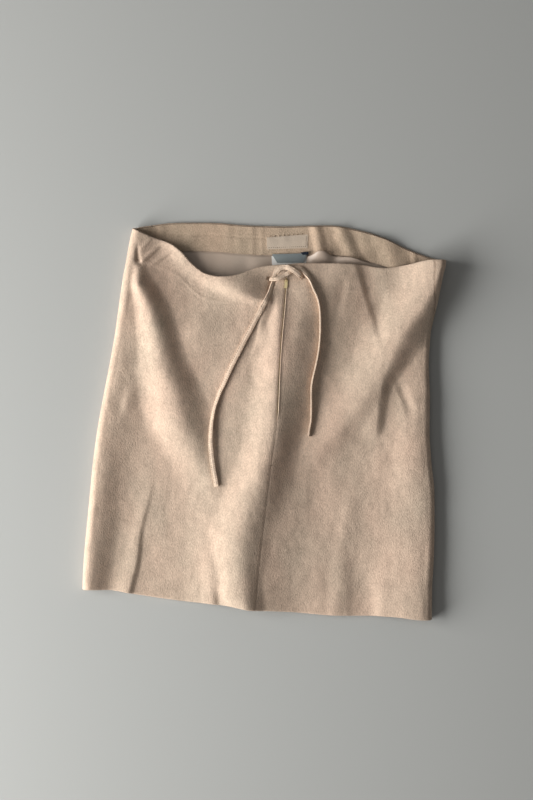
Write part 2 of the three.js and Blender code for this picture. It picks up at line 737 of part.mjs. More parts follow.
// Facings inside the waist, on the panels' own points
const leftFacingGrid = leftGrid.slice(0, facingRow + 1).map((row) => row.slice(0, row.length - 3));
const rightFacingGrid = rightGrid.slice(0, facingRow + 1).map((row) => row.slice(3));
addMesh('front_left_facing', cutHole(wall(leftFacingGrid, innerLow, innerHigh), rightTailHole), innerSuede);
addMesh('front_right_facing', cutHole(wall(rightFacingGrid, innerLow, innerHigh), leftTailHole), innerSuede);
const pucker = (p) => {
  let z = 0;
  if (p.z > suedeThickness) return 0;
  const down = smooth(waistRows, 'x', p.x, 'back') - p.y;
  for (const row of puckerRows) z -= row.height * hump(p.x - row.x - (row.lean * down) / 31, row.half);
  return z;
};
addMesh('back_facing', wall(patch(backColumns(facingColumns), facingRows), innerLow, innerHigh, () => true, pucker), innerSuede);

// The lining over the inside of the back, from the facing's lower edge
const liningStart = facingEnd + seamGap / 420;
const liningColumns = backColumns(facingColumns).slice(8, 8 + facingColumns);
const liningRows = [0, 1, 2, 3].map((i) => lerp(liningStart, liningEnd, i / 3));
addMesh('back_lining', wall(patch(liningColumns, liningRows), innerLow, innerHigh), lining);

// Labels, each a layer over the one below
const layer = innerThickness + layerGap;
const firstLayer = suedeThickness + layerGap + layer;
addMesh('label', plate(labelCorners, firstLayer, innerThickness), labelCloth);
addMesh('care_label', plate(careCorners, firstLayer, innerThickness), careCloth);
addMesh('care_label_fold', plate(careFoldCorners, firstLayer + layer, innerThickness), greyCloth);
addMesh('size_tab', plate(sizeTabCorners, firstLayer + 2 * layer, innerThickness), navyCloth);

// The zip under the centre front, its tape parted at the top round the slider
const zipRows = rows.filter((v) => v < zipEnd).map((v, i) => (i === 0 ? 0.006 : v));
const tapeGrid = patch([
  fromCentre('left', tapeHalf), fromCentre('left', tapeInner), fromCentre('left', 0),
  fromCentre('right', 0), fromCentre('right', tapeInner), fromCentre('right', tapeHalf),
], zipRows);
const tapeNotch = (i, j) => i >= facingRow || j < 1 || j > 3;
addMesh('zip_tape', wall(tapeGrid, innerLow, innerHigh, tapeNotch), tapeCloth);

const frame = pullFrame();
const zipHead = new THREE.Group();
zipHead.name = 'zip_head';
zipHead.position.copy(frame.origin);
zipHead.quaternion.setFromRotationMatrix(frame.basis);
group.add(zipHead);
addMesh('zip_slider', sliderGeometry(), brass, zipHead);
const tab = addMesh('zip_pull', pullGeometry(), brass, zipHead);
tab.position.set(0, 0, pull.rise);

// The tie: two strands that cross over the centre front
addMesh('tie_left', strand(leftTailRoute), suede);
addMesh('tie_right', strand(rightTailRoute), suede);

// The origin is the middle of the flat base
group.updateMatrixWorld(true);
const box = new THREE.Box3().setFromObject(group, true);
group.position.set(-(box.min.x + box.max.x) / 2, -(box.min.y + box.max.y) / 2, -box.min.z);
group.updateMatrixWorld(true);

export default group;
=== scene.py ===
"""A suede mini skirt with a tie front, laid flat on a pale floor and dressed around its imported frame."""
import logging
import math
from dataclasses import dataclass, field
from enum import Enum

import bpy
import numpy as np
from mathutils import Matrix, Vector
from mathutils.bvhtree import BVHTree


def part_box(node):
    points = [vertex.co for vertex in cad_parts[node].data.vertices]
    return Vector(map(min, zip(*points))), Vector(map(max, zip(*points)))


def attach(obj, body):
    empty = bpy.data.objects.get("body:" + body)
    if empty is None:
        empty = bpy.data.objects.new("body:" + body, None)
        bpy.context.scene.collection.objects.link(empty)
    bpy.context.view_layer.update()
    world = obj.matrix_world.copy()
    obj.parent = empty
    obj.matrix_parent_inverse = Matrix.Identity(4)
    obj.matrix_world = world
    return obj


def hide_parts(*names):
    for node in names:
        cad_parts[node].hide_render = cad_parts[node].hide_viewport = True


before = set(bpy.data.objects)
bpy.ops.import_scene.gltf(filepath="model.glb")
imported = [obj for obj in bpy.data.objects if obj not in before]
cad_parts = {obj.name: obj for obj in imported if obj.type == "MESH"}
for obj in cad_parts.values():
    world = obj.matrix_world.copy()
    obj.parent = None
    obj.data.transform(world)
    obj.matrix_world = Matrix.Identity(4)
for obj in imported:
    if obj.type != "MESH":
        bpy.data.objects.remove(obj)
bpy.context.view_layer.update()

log = logging.getLogger("skirt")

Array = np.ndarray
Colour = tuple[float, float, float]
Cut = tuple[float, float, float]
Piece = bpy.types.Object
Material = bpy.types.Material
NodeTree = bpy.types.NodeTree
Socket = bpy.types.NodeSocket

MM = 0.001
BODY = "skirt"

# Sizes of the cloth, in millimetres
SUEDE = 1.2
INNER = 1.0
LAYER_GAP = 0.3
INNER_FACE = -SUEDE / 2 - LAYER_GAP
LEFT_SEAM_UNDER = 25.0
FOLD_ZONE = 20.0
FOLD_FADE = 12.0
SEAM_HALF = 0.12
TURN_RADIUS = 0.75
LEAST_HEIGHT = 4.4
TIE_WIDTH = 5.6
TIE_THICKNESS = 2.7
LABEL_LEFT = 3.2
LABEL_LOW = 197.2
# Rings, from 0 at the waist to 1 at the hem
FACING_START = 0.001
FACING_END = 0.073
ZIP_END = 0.575
LINING_END = 0.91

TURN_STEPS = 6
LATTICE = 160
CENTRE_NEAR = 20.0
BOX_FACES = ((3, 2, 1, 0), (4, 5, 6, 7), (0, 1, 5, 4), (1, 2, 6, 5), (2, 3, 7, 6), (3, 0, 4, 7))


class Side(Enum):
    """The fold that a place on the ring is measured from."""

    LEFT = "left"
    RIGHT = "right"

    @property
    def radius(self) -> float:
        """Radius of the fold, to the middle of the cloth."""
        return 7.0 if self is Side.LEFT else 6.0

    @property
    def inward(self) -> float:
        """The sign of X from the fold towards the middle of the skirt."""
        return 1.0 if self is Side.LEFT else -1.0

    @property
    def near(self) -> float:
        """A plan X near the fold."""
        return -170.0 if self is Side.LEFT else 195.0

    @property
    def quarter(self) -> float:
        """Arc length of a quarter of the fold."""
        return math.pi * self.radius / 2


@dataclass(frozen=True)
class Table:
    """Rows of named columns, read at places of the first along a smooth curve with no overshoot."""

    columns: tuple[str, ...]
    rows: tuple[tuple[float, ...], ...]

    def column(self, name: str) -> Array:
        """The numbers of one column."""
        return np.array([row[self.columns.index(name)] for row in self.rows], float)

    def read(self, at: Array, name: str) -> Array:
        """Reads a column.

        Args:
            at: the places to read at.
            name: the column to read.

        Returns:
            The smooth values, one for each place.
        """
        keys, values = self.column(self.columns[0]), self.column(name)
        if keys[0] > keys[-1]:
            keys, values = keys[::-1], values[::-1]
        gap = np.diff(keys)
        secant = np.diff(values) / gap
        slope = np.empty_like(values)
        slope[0], slope[-1] = secant[0], secant[-1]
        before, after = secant[:-1], secant[1:]
        total = np.where(before * after > 0, before + after, 1.0)
        slope[1:-1] = np.where(before * after > 0, 2 * before * after / total, 0.0)
        x = np.clip(at, keys[0], keys[-1])
        k = np.clip(np.searchsorted(keys, x, side="right") - 1, 0, len(keys) - 2)
        t = (x - keys[k]) / gap[k]
        start = (1 + 2 * t) * (1 - t) ** 2 * values[k] + t * (1 - t) ** 2 * gap[k] * slope[k]
        end = t * t * (3 - 2 * t) * values[k + 1] + t * t * (t - 1) * gap[k] * slope[k + 1]
        return start + end

    def ridge(self, at: Array, off: Array) -> Array:
        """The height of the ridge that the rows describe: run, crest, height, and reach to each side.

        Args:
            at: places along the ridge.
            off: places across it.

        Returns:
            The height at each place.
        """
        _, crest, height, before, after = self.columns
        d = off - self.read(at, crest)
        reach = np.where(d < 0, self.read(at, before), self.read(at, after))
        return self.read(at, height) * hump(d, reach)


SIDE_LINES = Table(("y", "left", "right"), (
    (222, -149.5, 208.5), (200, -154.3, 208.3), (181, -157.6, 208.0), (166, -160.5, 204.5),
    (139, -164.5, 199.0), (102, -169.6, 191.0), (66, -175.8, 188.8), (29, -183.0, 190.0),
    (-8, -189.7, 189.6), (-45, -194.8, 191.6), (-82, -198.5, 195.2), (-118, -201.9, 195.4),
    (-155, -205.3, 194.6), (-192, -207.0, 192.6), (-227, -207.0, 192.2),
))
WAIST = Table(("x", "back", "front"), (
    (-151, 220.0, 220.0), (-131, 223.1, 211.0), (-106, 226.2, 201.3), (-94, 226.6, 192.0),
    (-82, 226.6, 178.7), (-66, 226.6, 167.4), (-50, 226.0, 164.2), (-33, 224.5, 165.8), (-9, 223.1, 173.7),
    (6, 222.7, 176.6), (27, 222.4, 178.2), (47, 223.1, 179.6), (76, 223.4, 179.6), (112, 217.4, 178.0),
    (138, 209.3, 174.4), (163, 197.2, 177.6), (192, 186.2, 183.0), (207, 182.9, 182.9),
))
HEM = Table(("x", "y"), (
    (-207, -192.0), (-179, -192.4), (-152, -196.7), (-97, -204.7), (-41, -210.5), (-14, -215.0),
    (28, -217.4), (83, -221.8), (124, -222.2), (152, -223.4), (180, -226.4), (193, -226.6),
))
CENTRE = Table(("y", "x"), (
    (180, 27.0), (156, 25.5), (123, 22.9), (91, 19.9), (53, 17.6), (4, 15.4), (-50, 8.6), (-106, 2.1),
    (-162, -4.6), (-217, -9.6),
))
RIGHT_SEAM = Table(("v", "e"), ((0.0, 16.4), (0.1, 8.0), (0.2, 0.0), (0.35, -5.0), (1.0, -5.0)))

FOLD_COLUMNS = ("y", "x", "height", "left", "right")


def fold_tables(folds: dict[str, tuple]) -> dict[str, Table]:
    """Makes a table of each fold's rows."""
    return {name: Table(FOLD_COLUMNS, rows) for name, rows in folds.items()}


# The folds of the solids, from crest to crest: height and reach of each flank
FOLDS = fold_tables({
    "left_waist_ridge": (
        (183, -148, 2, 8, 12), (162, -146, 6, 12, 20), (151, -139.5, 8, 16, 23), (139, -133, 9, 19, 23),
        (128, -129, 9.6, 21, 25), (116, -126, 10.2, 23, 26), (105, -123, 10.6, 25, 27),
        (82, -118, 11.2, 29, 29), (59, -112.5, 12, 36, 34), (36, -104.5, 12.6, 42, 37),
        (13, -99, 12.4, 45, 40), (-10, -93, 11, 43, 40), (-33, -84, 7, 39, 34), (-68, -66, 2, 34, 24),
        (-91, -54, 0, 30, 22)),
    "left_hem_crease": (
        (-66, -127, 0, 10, 5), (-97, -135, 1.8, 14, 6), (-125, -142.5, 3, 22, 7),
        (-160, -146.5, 4.8, 26, 8), (-180, -151.5, 5.3, 27, 9.5), (-197, -156, 5.5, 27, 10)),
    "centre_ridge": (
        (150, 17, 0, 8, 34), (125, 17.5, 4.5, 11, 50), (105, 18, 8, 21, 60), (59, 18.5, 10.5, 36, 66),
        (30, 17, 11.5, 37, 52), (0, 14, 12, 38, 42), (-22, 10.5, 12, 37, 37), (-56, 0, 11.5, 38, 40),
        (-91, -12, 10.5, 41, 42), (-137, -25, 9, 43, 38), (-183, -25, 8.5, 37, 27),
        (-215, -20, 8.5, 30, 24)),
    "tie_side_ridge": (
        (163, 48, 0, 18, 20), (150, 49, 1.9, 20, 22), (139, 49, 2.6, 20, 22), (122, 46, 2.2, 16, 22),
        (105, 42, 1.3, 12, 22), (85, 38, 0, 10, 22)),
    "right_waist_crease": (
        (184, 112, -2, 12, 22), (165, 118, -3.6, 11, 22), (139, 125.5, -4, 11, 20), (116, 131, -3.2, 9, 16),
        (95, 134, -1, 8, 12), (88, 135, 0, 7, 10)),
    "right_diagonal_ridge": (
        (185, 203, 13, 54, 12), (165, 199, 15.3, 53, 16), (139, 186, 16.2, 52, 28),
        (128, 178, 16.3, 52, 34), (116, 168, 16.4, 52, 36), (105, 160, 16.2, 52, 36),
        (93, 154, 15.7, 52, 36), (82, 148, 14.8, 53, 34), (70, 143.5, 13.6, 54, 30),
        (59, 139, 11.5, 55, 25), (47, 134.5, 9.5, 52, 20), (36, 132, 7.5, 50, 16), (13, 129, 5.5, 44, 14),
        (-8, 127.5, 4, 36, 12), (-20, 127, 0, 30, 10)),
    "right_low_ridge": (
        (66, 120, 0, 40, 30), (36, 112, 3.5, 42, 32), (13, 100, 5.5, 44, 28), (-10, 86, 5.5, 44, 32),
        (-33, 66, 3, 40, 40), (-60, 50, 0, 36, 40)),
    "right_edge_ridge": (
        (40, 172, 0, 26, 26), (20, 173, 1.6, 28, 26), (-10, 172, 2.2, 30, 28), (-45, 172, 3.0, 32, 30),
        (-80, 174, 2.2, 34, 30), (-110, 177, 0, 34, 28)),
    "right_hem_swell": (
        (-100, 176, 0, 48, 30), (-140, 175, 2.2, 50, 30), (-180, 175, 3, 52, 30), (-227, 177, 4, 54, 30)),
    "right_hem_valley": (
        (-154, 108, 0, 20, 24), (-189, 114, -3, 22, 24), (-222, 115, -4, 22, 24)),
})
# How far the fronts sag beside each fold, how far in that reaches, and where the sag ends
SAG_COLUMNS = ("y", "depth", "reach", "begin", "end")
LEFT_SAG = Table(SAG_COLUMNS, (
    (220, 2, 30, 50, 110), (200, 5, 36, 50, 110), (183, 7.5, 46, 55, 115), (165, 8.5, 50, 60, 120),
    (150, 8, 50, 60, 120), (130, 5, 50, 60, 130), (105, 2, 50, 60, 140), (60, 3, 54, 70, 150),
    (24, 5.5, 60, 75, 160), (-45, 8.4, 56, 80, 165), (-80, 9.8, 52, 80, 165), (-120, 10.8, 49, 80, 165),
    (-160, 11.7, 43, 85, 165), (-227, 12.3, 37, 85, 165),
))
RIGHT_SAG = Table(SAG_COLUMNS, (
    (185, 6, 70, 60, 120), (165, 7, 70, 60, 125), (139, 6.5, 70, 60, 130), (110, 5.5, 80, 70, 140),
    (70, 5, 80, 100, 165), (30, 5, 80, 120, 185), (0, 5.5, 90, 125, 190), (-45, 6, 95, 130, 195),
    (-120, 6.5, 110, 130, 200), (-227, 7, 115, 130, 200),
))
# Finer creases that only the cloth has
CREASES = fold_tables({
    "left_corner_pucker": (
        (207, -147, 0, 5, 4), (196, -146, -2.6, 6, 5), (186, -144, -3.2, 7, 5), (176, -141, 0, 6, 6)),
    "left_corner_crease": (
        (200, -119, 0, 6, 4), (196, -124, 1.7, 7, 4), (190, -131, 2.1, 7, 4), (184, -138, 1.6, 6, 4),
        (180, -143, 0, 4, 3)),
    "left_corner_second": (
        (196, -104, 0, 7, 5), (191, -111, 1.3, 8, 5), (185, -120, 1.5, 8, 5), (178, -130, 0, 6, 4)),
    "left_corner_third": (
        (210, -128, 0, 5, 4), (205, -132, 1.0, 6, 4), (199, -138, 0.8, 5, 4), (195, -142, 0, 4, 4)),
    "left_short_crease": (
        (46, -150, 0, 9, 13), (32, -153, 1.1, 9, 14), (20, -156, 1.5, 9, 15), (6, -158, 0, 9, 13)),
    "right_small_crease": (
        (50, 153, 0, 6, 8), (32, 160, -1.7, 8, 10), (16, 166, -1.4, 8, 10), (0, 168, 0, 8, 9)),
    "left_hem_wave": (
        (-130, -66, 0, 12, 8), (-170, -62, 1.0, 13, 8), (-207, -60, 1.5, 14, 9)),
    "left_hem_dip": (
        (-150, -50, 0, 6, 10), (-185, -50, -0.9, 6, 10), (-210, -50, -1.3, 7, 10)),
    "left_hem_wave_two": (
        (-150, -104, 0, 10, 8), (-180, -102, 0.8, 11, 8), (-205, -101, 1.3, 12, 8)),
    "right_waist_dimple": (
        (168, 92, 0, 10, 8), (150, 90, -1.2, 12, 9), (128, 84, -1.0, 12, 10), (104, 80, 0, 10, 10)),
    "right_middle_dip": (
        (-40, 70, 0, 14, 18), (-75, 60, -1.4, 15, 20), (-110, 62, -1.0, 16, 20), (-140, 66, 0, 16, 18)),
    "right_long_wave": (
        (-60, 106, 0, 14, 18), (-110, 96, 1.2, 15, 20), (-160, 88, 1.4, 16, 20), (-220, 84, 1.6, 16, 20)),
    "left_under_lip": (
        (142, -56, 0, 26, 20), (122, -68, 1.6, 28, 34), (104, -72, 2.6, 28, 36), (80, -74, 1.6, 26, 34),
        (50, -72, 0, 24, 30)),
    "fly_hollow": (
        (178, 12, 0, 24, 8), (170, 11, -2.6, 34, 8), (160, 9, -4.6, 38, 8), (152, 6.5, -6.4, 38, 6.5),
        (143, 4, -5.2, 32, 6), (136, 2, -2, 22, 5), (130, 0, 0, 16, 5)),
    "tie_step": (
        (142, 0, 0, 4, 12), (120, -2, 1.6, 5, 12), (100, -4, 1.8, 5, 12), (76, -12, 0.8, 5, 12),
        (60, -18, 0, 5, 12)),
})
LIP_COLUMNS = ("x", "y", "height", "below", "above")
LIP = Table(LIP_COLUMNS, (
    (-118, 208, 0, 22, 10), (-108, 205, 2.0, 30, 10), (-100, 202, 4.7, 32, 10), (-90, 194, 6.4, 32, 10),
    (-74, 182, 6.1, 28, 12), (-51, 168, 4.8, 28, 16), (-28, 156, 3, 30, 26), (-10, 148, 2.5, 30, 34),
    (4, 143, 2, 30, 38), (13, 138, 0, 30, 38),
))
LIP_EDGE = Table(LIP_COLUMNS, (
    (-92, 174, 0, 12, 12), (-74, 165, 0.9, 12, 14), (-51, 157, 1.9, 12, 20), (-28, 147, 3.6, 12, 28),
    (-10, 142, 5.2, 11, 34), (2, 139, 4.6, 8, 34), (10, 137, 0, 6, 30),
))
# Puckers across the back facing, from its top edge downwards
PUCKERS = Table(("x", "lean", "height", "half"), (
    (-118, 3, 0.4, 6), (-82, -2, 0.35, 9), (-40, 1, 0.35, 8), (-13, 0, 0.3, 5), (-2, 0, 0.25, 4),
    (60, 6, 2.6, 10), (87, 14, 2.4, 15), (113, 10, 0.5, 11), (141, 12, 2.6, 24), (172, 4, 0.8, 6),
))
# Where the lining stands up from the back
LINING_SWELLS = Table(("x", "y", "height", "across", "down", "over"), (
    (66, 188, 9.5, 18, 14, 7), (101, 184, 6.5, 27, 12, 2.6), (-60, 168, 1.2, 40, 22, 0),
    (-5, 180, 1.0, 16, 12, 0),
))

ROUTE_COLUMNS = ("x", "y", "over", "turn")
# The tie's routes in plan, how far over its rest each strand is, and its turn about its length in degrees
LEFT_TAIL = Table(ROUTE_COLUMNS, (
    (44.1, 164.6, -3.8, 0), (43.9, 164.7, -1.8, 0), (42.4, 165.8, 0.8, 0), (40.3, 167.3, 2.4, 0),
    (36.8, 170.2, 3.2, 0), (33.4, 172.5, 3.2, 0), (29.9, 174.5, 2.2, 0), (26.5, 175.6, 0.8, 4),
    (23.0, 176.0, 0.2, 5), (19.6, 175.1, 0, 5), (16.7, 173.1, 0, 2), (14.4, 170.2, -0.3, 10),
    (13.2, 166.8, -0.9, 20), (12.7, 163.3, -1.2, 28), (11.3, 158.7, -0.8, 32), (9.5, 154.1, 0, 34),
    (6.9, 146.1, 0, 28), (3.5, 139.2, 0, 20), (-0.2, 132.3, 0, 8), (-5.8, 121.9, 0, -4),
    (-11.5, 111.6, 0, -10), (-16.1, 102.4, 0, -10), (-20.7, 94.3, 0, -10), (-24.6, 86.3, 0, -10),
    (-30.5, 74.8, 0, -14), (-36.3, 63.3, 0, -18), (-40.6, 54.1, 0, -22), (-45.6, 42.6, 0, -28),
    (-50.0, 33.4, 0, -36), (-53.3, 24.2, 0, -44), (-56.0, 16.1, 0.4, -46), (-58.0, 6.9, 0.8, -44),
    (-59.5, -2.3, 1.2, -38), (-60.3, -12.7, 1.5, -30), (-60.6, -23.0, 1.6, -22), (-60.1, -33.4, 1.4, -16),
    (-58.8, -44.9, 1.0, -14), (-57.1, -56.4, 0.6, -14), (-55.1, -66.7, 0, -16), (-53.8, -74.8, 0, -18),
))
RIGHT_TAIL = Table(ROUTE_COLUMNS, (
    (7.6, 163.0, -4.6, 20), (7.6, 163.0, -2.8, 24), (7.9, 163.0, -0.8, 30), (9.0, 162.9, 0.8, 36),
    (10.8, 162.8, 1.8, 40), (13.8, 162.5, 2.4, 40), (18.4, 163.3, 1.7, 42), (21.9, 165.0, 0.9, 38),
    (26.5, 167.9, 0.2, 28), (30.5, 170.8, 0, 14), (34.5, 173.6, 0, 8), (38.5, 174.7, 0, 6),
    (43.0, 173.2, 0, 12), (47.4, 169.6, 0, 24), (51.4, 165.0, 0, 40), (54.5, 158.9, 0, 60),
    (57.4, 150.7, 0, 72), (61.0, 142.6, 0, 80), (63.6, 133.4, 0, 80), (64.9, 121.9, 0, 78),
    (65.2, 108.1, 0, 76), (64.7, 93.2, 0, 75), (63.0, 78.2, 0, 75), (60.3, 64.4, 0, 75),
    (57.4, 51.8, 0, 75), (55.4, 41.4, 0, 75), (55.0, 29.9, 0, 75), (55.1, 15.0, 0, 74), (54.8, 1.2, 0, 72),
    (52.9, -10.4, 0, 70), (52.1, -17.3, 0, 70),
))


def smoothstep(t: Array) -> Array:
    """Rises smoothly from 0 to 1 as t does."""
    c = np.clip(t, 0, 1)
    return c * c * (3 - 2 * c)


def hump(d: Array, reach: Array | float) -> Array:
    """A smooth hump of height 1 at d = 0 that ends at reach."""
    inside = np.abs(d) < reach
    return np.where(inside, 0.5 * (1 + np.cos(math.pi * d / np.maximum(reach, 1e-6))), 0.0)


def unit(vectors: Array) -> Array:
    """Vectors made one long, along the last axis."""
    return vectors / np.maximum(np.linalg.norm(vectors, axis=-1, keepdims=True), 1e-12)


def run_along(line: Array) -> Array:
    """The length of a line of points up to each of them."""
    return np.concatenate([[0], np.cumsum(np.linalg.norm(np.diff(line, axis=0), axis=1))])


def spread(start: Array | float, end: Array | float, count: int) -> Array:
    """Even steps from a start to an end, along a new last axis."""
    return start + (end - start) * np.linspace(0, 1, count)


@dataclass(frozen=True)
class Waves:
    """A layer of small random waves over the plan, in millimetres."""

    height: float
    spacing: float
    seed: int
    squash: float = 1.0

    def at(self, x: Array, y: Array) -> Array:
        """The layer's height, from -height to height.

        Args:
            x: places across.
            y: places along.

        Returns:
            The height at each place.
        """
        lattice = np.random.default_rng(self.seed).uniform(-1, 1, (LATTICE, LATTICE))
        u, w = x / self.spacing + LATTICE / 2, y * self.squash / self.spacing + LATTICE / 2
        i, j = (np.clip(np.floor(place).astype(int), 0, LATTICE - 2) for place in (u, w))
        fu, fw = smoothstep(u - i), smoothstep(w - j)
        low = lattice[i, j] * (1 - fu) + lattice[i + 1, j] * fu
        high = lattice[i, j + 1] * (1 - fu) + lattice[i + 1, j + 1] * fu
        return self.height * (low * (1 - fw) + high * fw)


@dataclass
class Tube:
    """The flattened tube of cloth that every panel is a part of, in millimetres."""

    waves: tuple[Waves, ...] = (Waves(0.6, 32, 3, 0.6), Waves(0.3, 15, 4, 0.65), Waves(0.13, 7, 5, 0.7))
    facing_line: tuple[float, float] = (0.35, 0.008)
    crease_fade: float = 5.0
    least_soft: float = 1.2
    rounds: int = 12

    def row_y(self, x: Array, v: Array, face: str) -> Array:
        """The plan Y of the ring at v, above a plan X, on the back or the front."""
        top = WAIST.read(x, face)
        return top + (HEM.read(x, "y") - top) * v

    def meet(self, line: Table, column: str, v: Array, face: str, start: float) -> Array:
        """The plan X at which the ring at v meets a line.

        Args:
            line: the line's X at each Y.
            column: the column with its X.
            v: the ring.
            face: the face that the ring is followed on.
            start: an X near the line.

        Returns:
            The X for each ring.
        """
        x = np.full_like(v, start)
        for _ in range(self.rounds):
            x = line.read(self.row_y(x, v, face), column)
        return x

    def edge_x(self, side: Side, v: Array) -> Array:
        """The plan X at which the ring at v turns under on one side."""
        return self.meet(SIDE_LINES, side.value, v, "back", side.near)

    def centre_x(self, v: Array) -> Array:
        """The plan X of the centre front line on the ring at v."""
        return self.meet(CENTRE, "x", v, "front", CENTRE_NEAR)

    @staticmethod
    def folds(x: Array, y: Array, tables: dict[str, Table]) -> Array:
        """The height that a set of folds adds.

        Args:
            x: plan places across.
            y: plan places along.
            tables: the folds.

        Returns:
            The height at each place. A fold ends at its last row where its height is 0 there.
        """
        z = np.zeros_like(x)
        for fold in tables.values():
            keys, heights = fold.column("y"), fold.column("height")
            runs = (y <= keys[0]) & ((y >= keys[-1]) | (heights[-1] != 0))
            z += np.where(runs, fold.ridge(y, x), 0.0)
        return z

    def front_height(self, x: Array, y: Array, v: Array) -> Array:
        """The height of the middle of the front cloth.

        Args:
            x: plan places across.
            y: plan places along.
            v: the ring of each place, 0 at the waist and 1 at the hem.

        Returns:
            The height at each place.
        """
        left, right = self.edge_x(Side.LEFT, v), self.edge_x(Side.RIGHT, v)
        from_left, from_right = x - left - Side.LEFT.radius, right - Side.RIGHT.radius - x
        t = np.clip((x - left) / (right - left), 0, 1)
        base = SUEDE / 2 + 2 * (Side.LEFT.radius + (Side.RIGHT.radius - Side.LEFT.radius) * t)
        for sag, distance in ((LEFT_SAG, from_left), (RIGHT_SAG, from_right)):
            begin, end = sag.read(y, "begin"), sag.read(y, "end")
            share = 1 - smoothstep((distance - begin) / (end - begin))
            run = np.clip(distance / sag.read(y, "reach"), 0, 1)
            base = base - sag.read(y, "depth") * (1 - (1 - run) ** 3 * (1 + 3 * run)) * share
        inside = np.minimum(from_left, from_right)
        fade = np.where(x > 0, 1.0, smoothstep(inside / FOLD_FADE))
        large = self.folds(x, y, FOLDS) + LIP.ridge(x, y) + LIP_EDGE.ridge(x, y)
        height, half = self.facing_line
        small = self.folds(x, y, CREASES) + height * hump(v - FACING_END, half)
        small += sum(layer.at(x, y) for layer in self.waves)
        z = base + large * fade + small * smoothstep(inside / self.crease_fade)
        return LEAST_HEIGHT + np.logaddexp(0, (z - LEAST_HEIGHT) / self.least_soft) * self.least_soft

    def level(self, x: Array, y: Array) -> Array:
        """The ring of a plan place on the fronts."""
        top = WAIST.read(x, "front")
        return np.clip((y - top) / (HEM.read(x, "y") - top), 0, 1)

    def place(self, side: Side, e: Array, v: Array) -> Array:
        """Points on the middle of the cloth.

        Args:
            side: the fold that e is measured from.
            e: distance round the ring, positive over the front and negative under the back.
            v: the ring, 0 at the waist and 1 at the hem.

        Returns:
            The points, with X, Y and Z on the last axis.
        """
        e, v = np.broadcast_arrays(e, v)
        radius, quarter = side.radius, side.quarter
        edge = self.edge_x(side, v)
        bent = np.abs(e) <= quarter
        inwards = np.where(bent, radius * (1 - np.cos(e / radius)), radius + np.abs(e) - quarter)
        x = edge + side.inward * inwards
        y = np.where(e >= 0, self.row_y(x, v, "front"), self.row_y(x, v, "back"))
        angle = np.clip(e / radius, -math.pi / 2, math.pi / 2)
        # The right rim stands up with the folds that run into it, and carries on their slope
        lift = self.folds(edge - radius, y, FOLDS) if side is Side.RIGHT else 0.0
        slope = self.folds(edge - radius - 1, y, FOLDS) - lift if side is Side.RIGHT else 0.0
        arc = SUEDE / 2 + (radius + lift / 2) * (1 + np.sin(angle))
        arc = arc - np.where(angle > 0, slope * radius / 2 * np.sin(2 * angle), 0.0)
        flat = np.where(e > 0, self.front_height(x, y, v), SUEDE / 2)
        return np.stack([x, y, np.where(bent, arc, flat)], -1)

    def ring_distance(self, side: Side, x: Array, v: Array) -> Array:
        """The distance round the ring of a plan X on one side."""
        return np.abs(x - self.edge_x(side, v)) - side.radius + side.quarter


def grid_normals(grid: Array, sign: float) -> Array:
    """Unit normals of a grid of points, turned by the sign."""
    return unit(np.cross(np.gradient(grid, axis=1), np.gradient(grid, axis=0)) * sign)


def turned_edges(grid: Array, sign: float) -> Array:
    """Rolls the first and the last row of a grid under by half a turn.

    Args:
        grid: rows of points on the middle of the cloth.
        sign: the side that the outer face is on, as in grid_normals.

    Returns:
        The grid with the turns' rows added.
    """
    for edge, inner in ((0, 1), (-1, -2)):
        point, normal = grid[edge], grid_normals(grid, sign)[edge]
        away = point - grid[inner]
        away = unit(away - normal * np.sum(away * normal, -1, keepdims=True))
        angles = math.pi * np.arange(1, TURN_STEPS + 1)[:, None, None] / TURN_STEPS
        turn = point - normal * TURN_RADIUS * (1 - np.cos(angles)) + away * TURN_RADIUS * np.sin(angles)
        grid = np.concatenate([turn[::-1], grid] if edge == 0 else [grid, turn])
    return grid


class ClothSheet:
    """A closed thin wall on a grid of points."""

    def __init__(self, grid: Array, low: Array | float, high: Array | float, sign: float,
                 keep: Array | None = None) -> None:
        """Keeps the wall's points and faces.

        Args:
            grid: rows of points on the middle of the cloth, in millimetres.
            low: distance of the inner face along the normals.
            high: distance of the outer face along the normals.
            sign: the side that the outer face is on, as in grid_normals.
            keep: which cells of the grid are cloth.
        """
        rows, columns = grid.shape[:2]
        normals = grid_normals(grid, sign)
        index = np.arange(rows * columns).reshape(rows, columns)
        kept = np.ones((rows - 1, columns - 1), bool) if keep is None else keep
        ring = np.pad(kept, 1)
        a, b, c, d = index[:-1, :-1], index[1:, :-1], index[1:, 1:], index[:-1, 1:]
        faces = [np.stack([q[kept] for q in (a, d, c, b)], -1),
                 np.stack([q[kept] + index.size for q in (a, b, c, d)], -1)]
        for neighbour, first, second in ((ring[1:-1, :-2], a, b), (ring[1:-1, 2:], c, d),
                                         (ring[:-2, 1:-1], d, a), (ring[2:, 1:-1], b, c)):
            p, q = (corner[kept & ~neighbour] for corner in (first, second))
            faces.append(np.stack([p, q, q + index.size, p + index.size], -1))
        quads = np.concatenate(faces)
        if sign < 0:
            quads = quads[:, ::-1]
        walls = [grid + normals * np.broadcast_to(np.asarray(way, float), (rows, columns))[..., None]
                 for way in (high, low)]
        points = np.concatenate(walls).reshape(-1, 3)
        used = np.unique(quads)
        renumber = np.full(len(points), -1)
        renumber[used] = np.arange(len(used))
        self.points = points[used]
        self.quads = renumber[quads]

    @property
    def mesh(self) -> tuple[Array, list]:
        """The points, and the faces as lists of point numbers."""
        return self.points, self.quads.tolist()


def flip_if_inward(mesh: bpy.types.Mesh) -> None:
    """Turns a closed mesh's faces out if they point in."""
    if sum(face.center.dot(face.normal) * face.area for face in mesh.polygons) < 0:
        mesh.flip_normals()


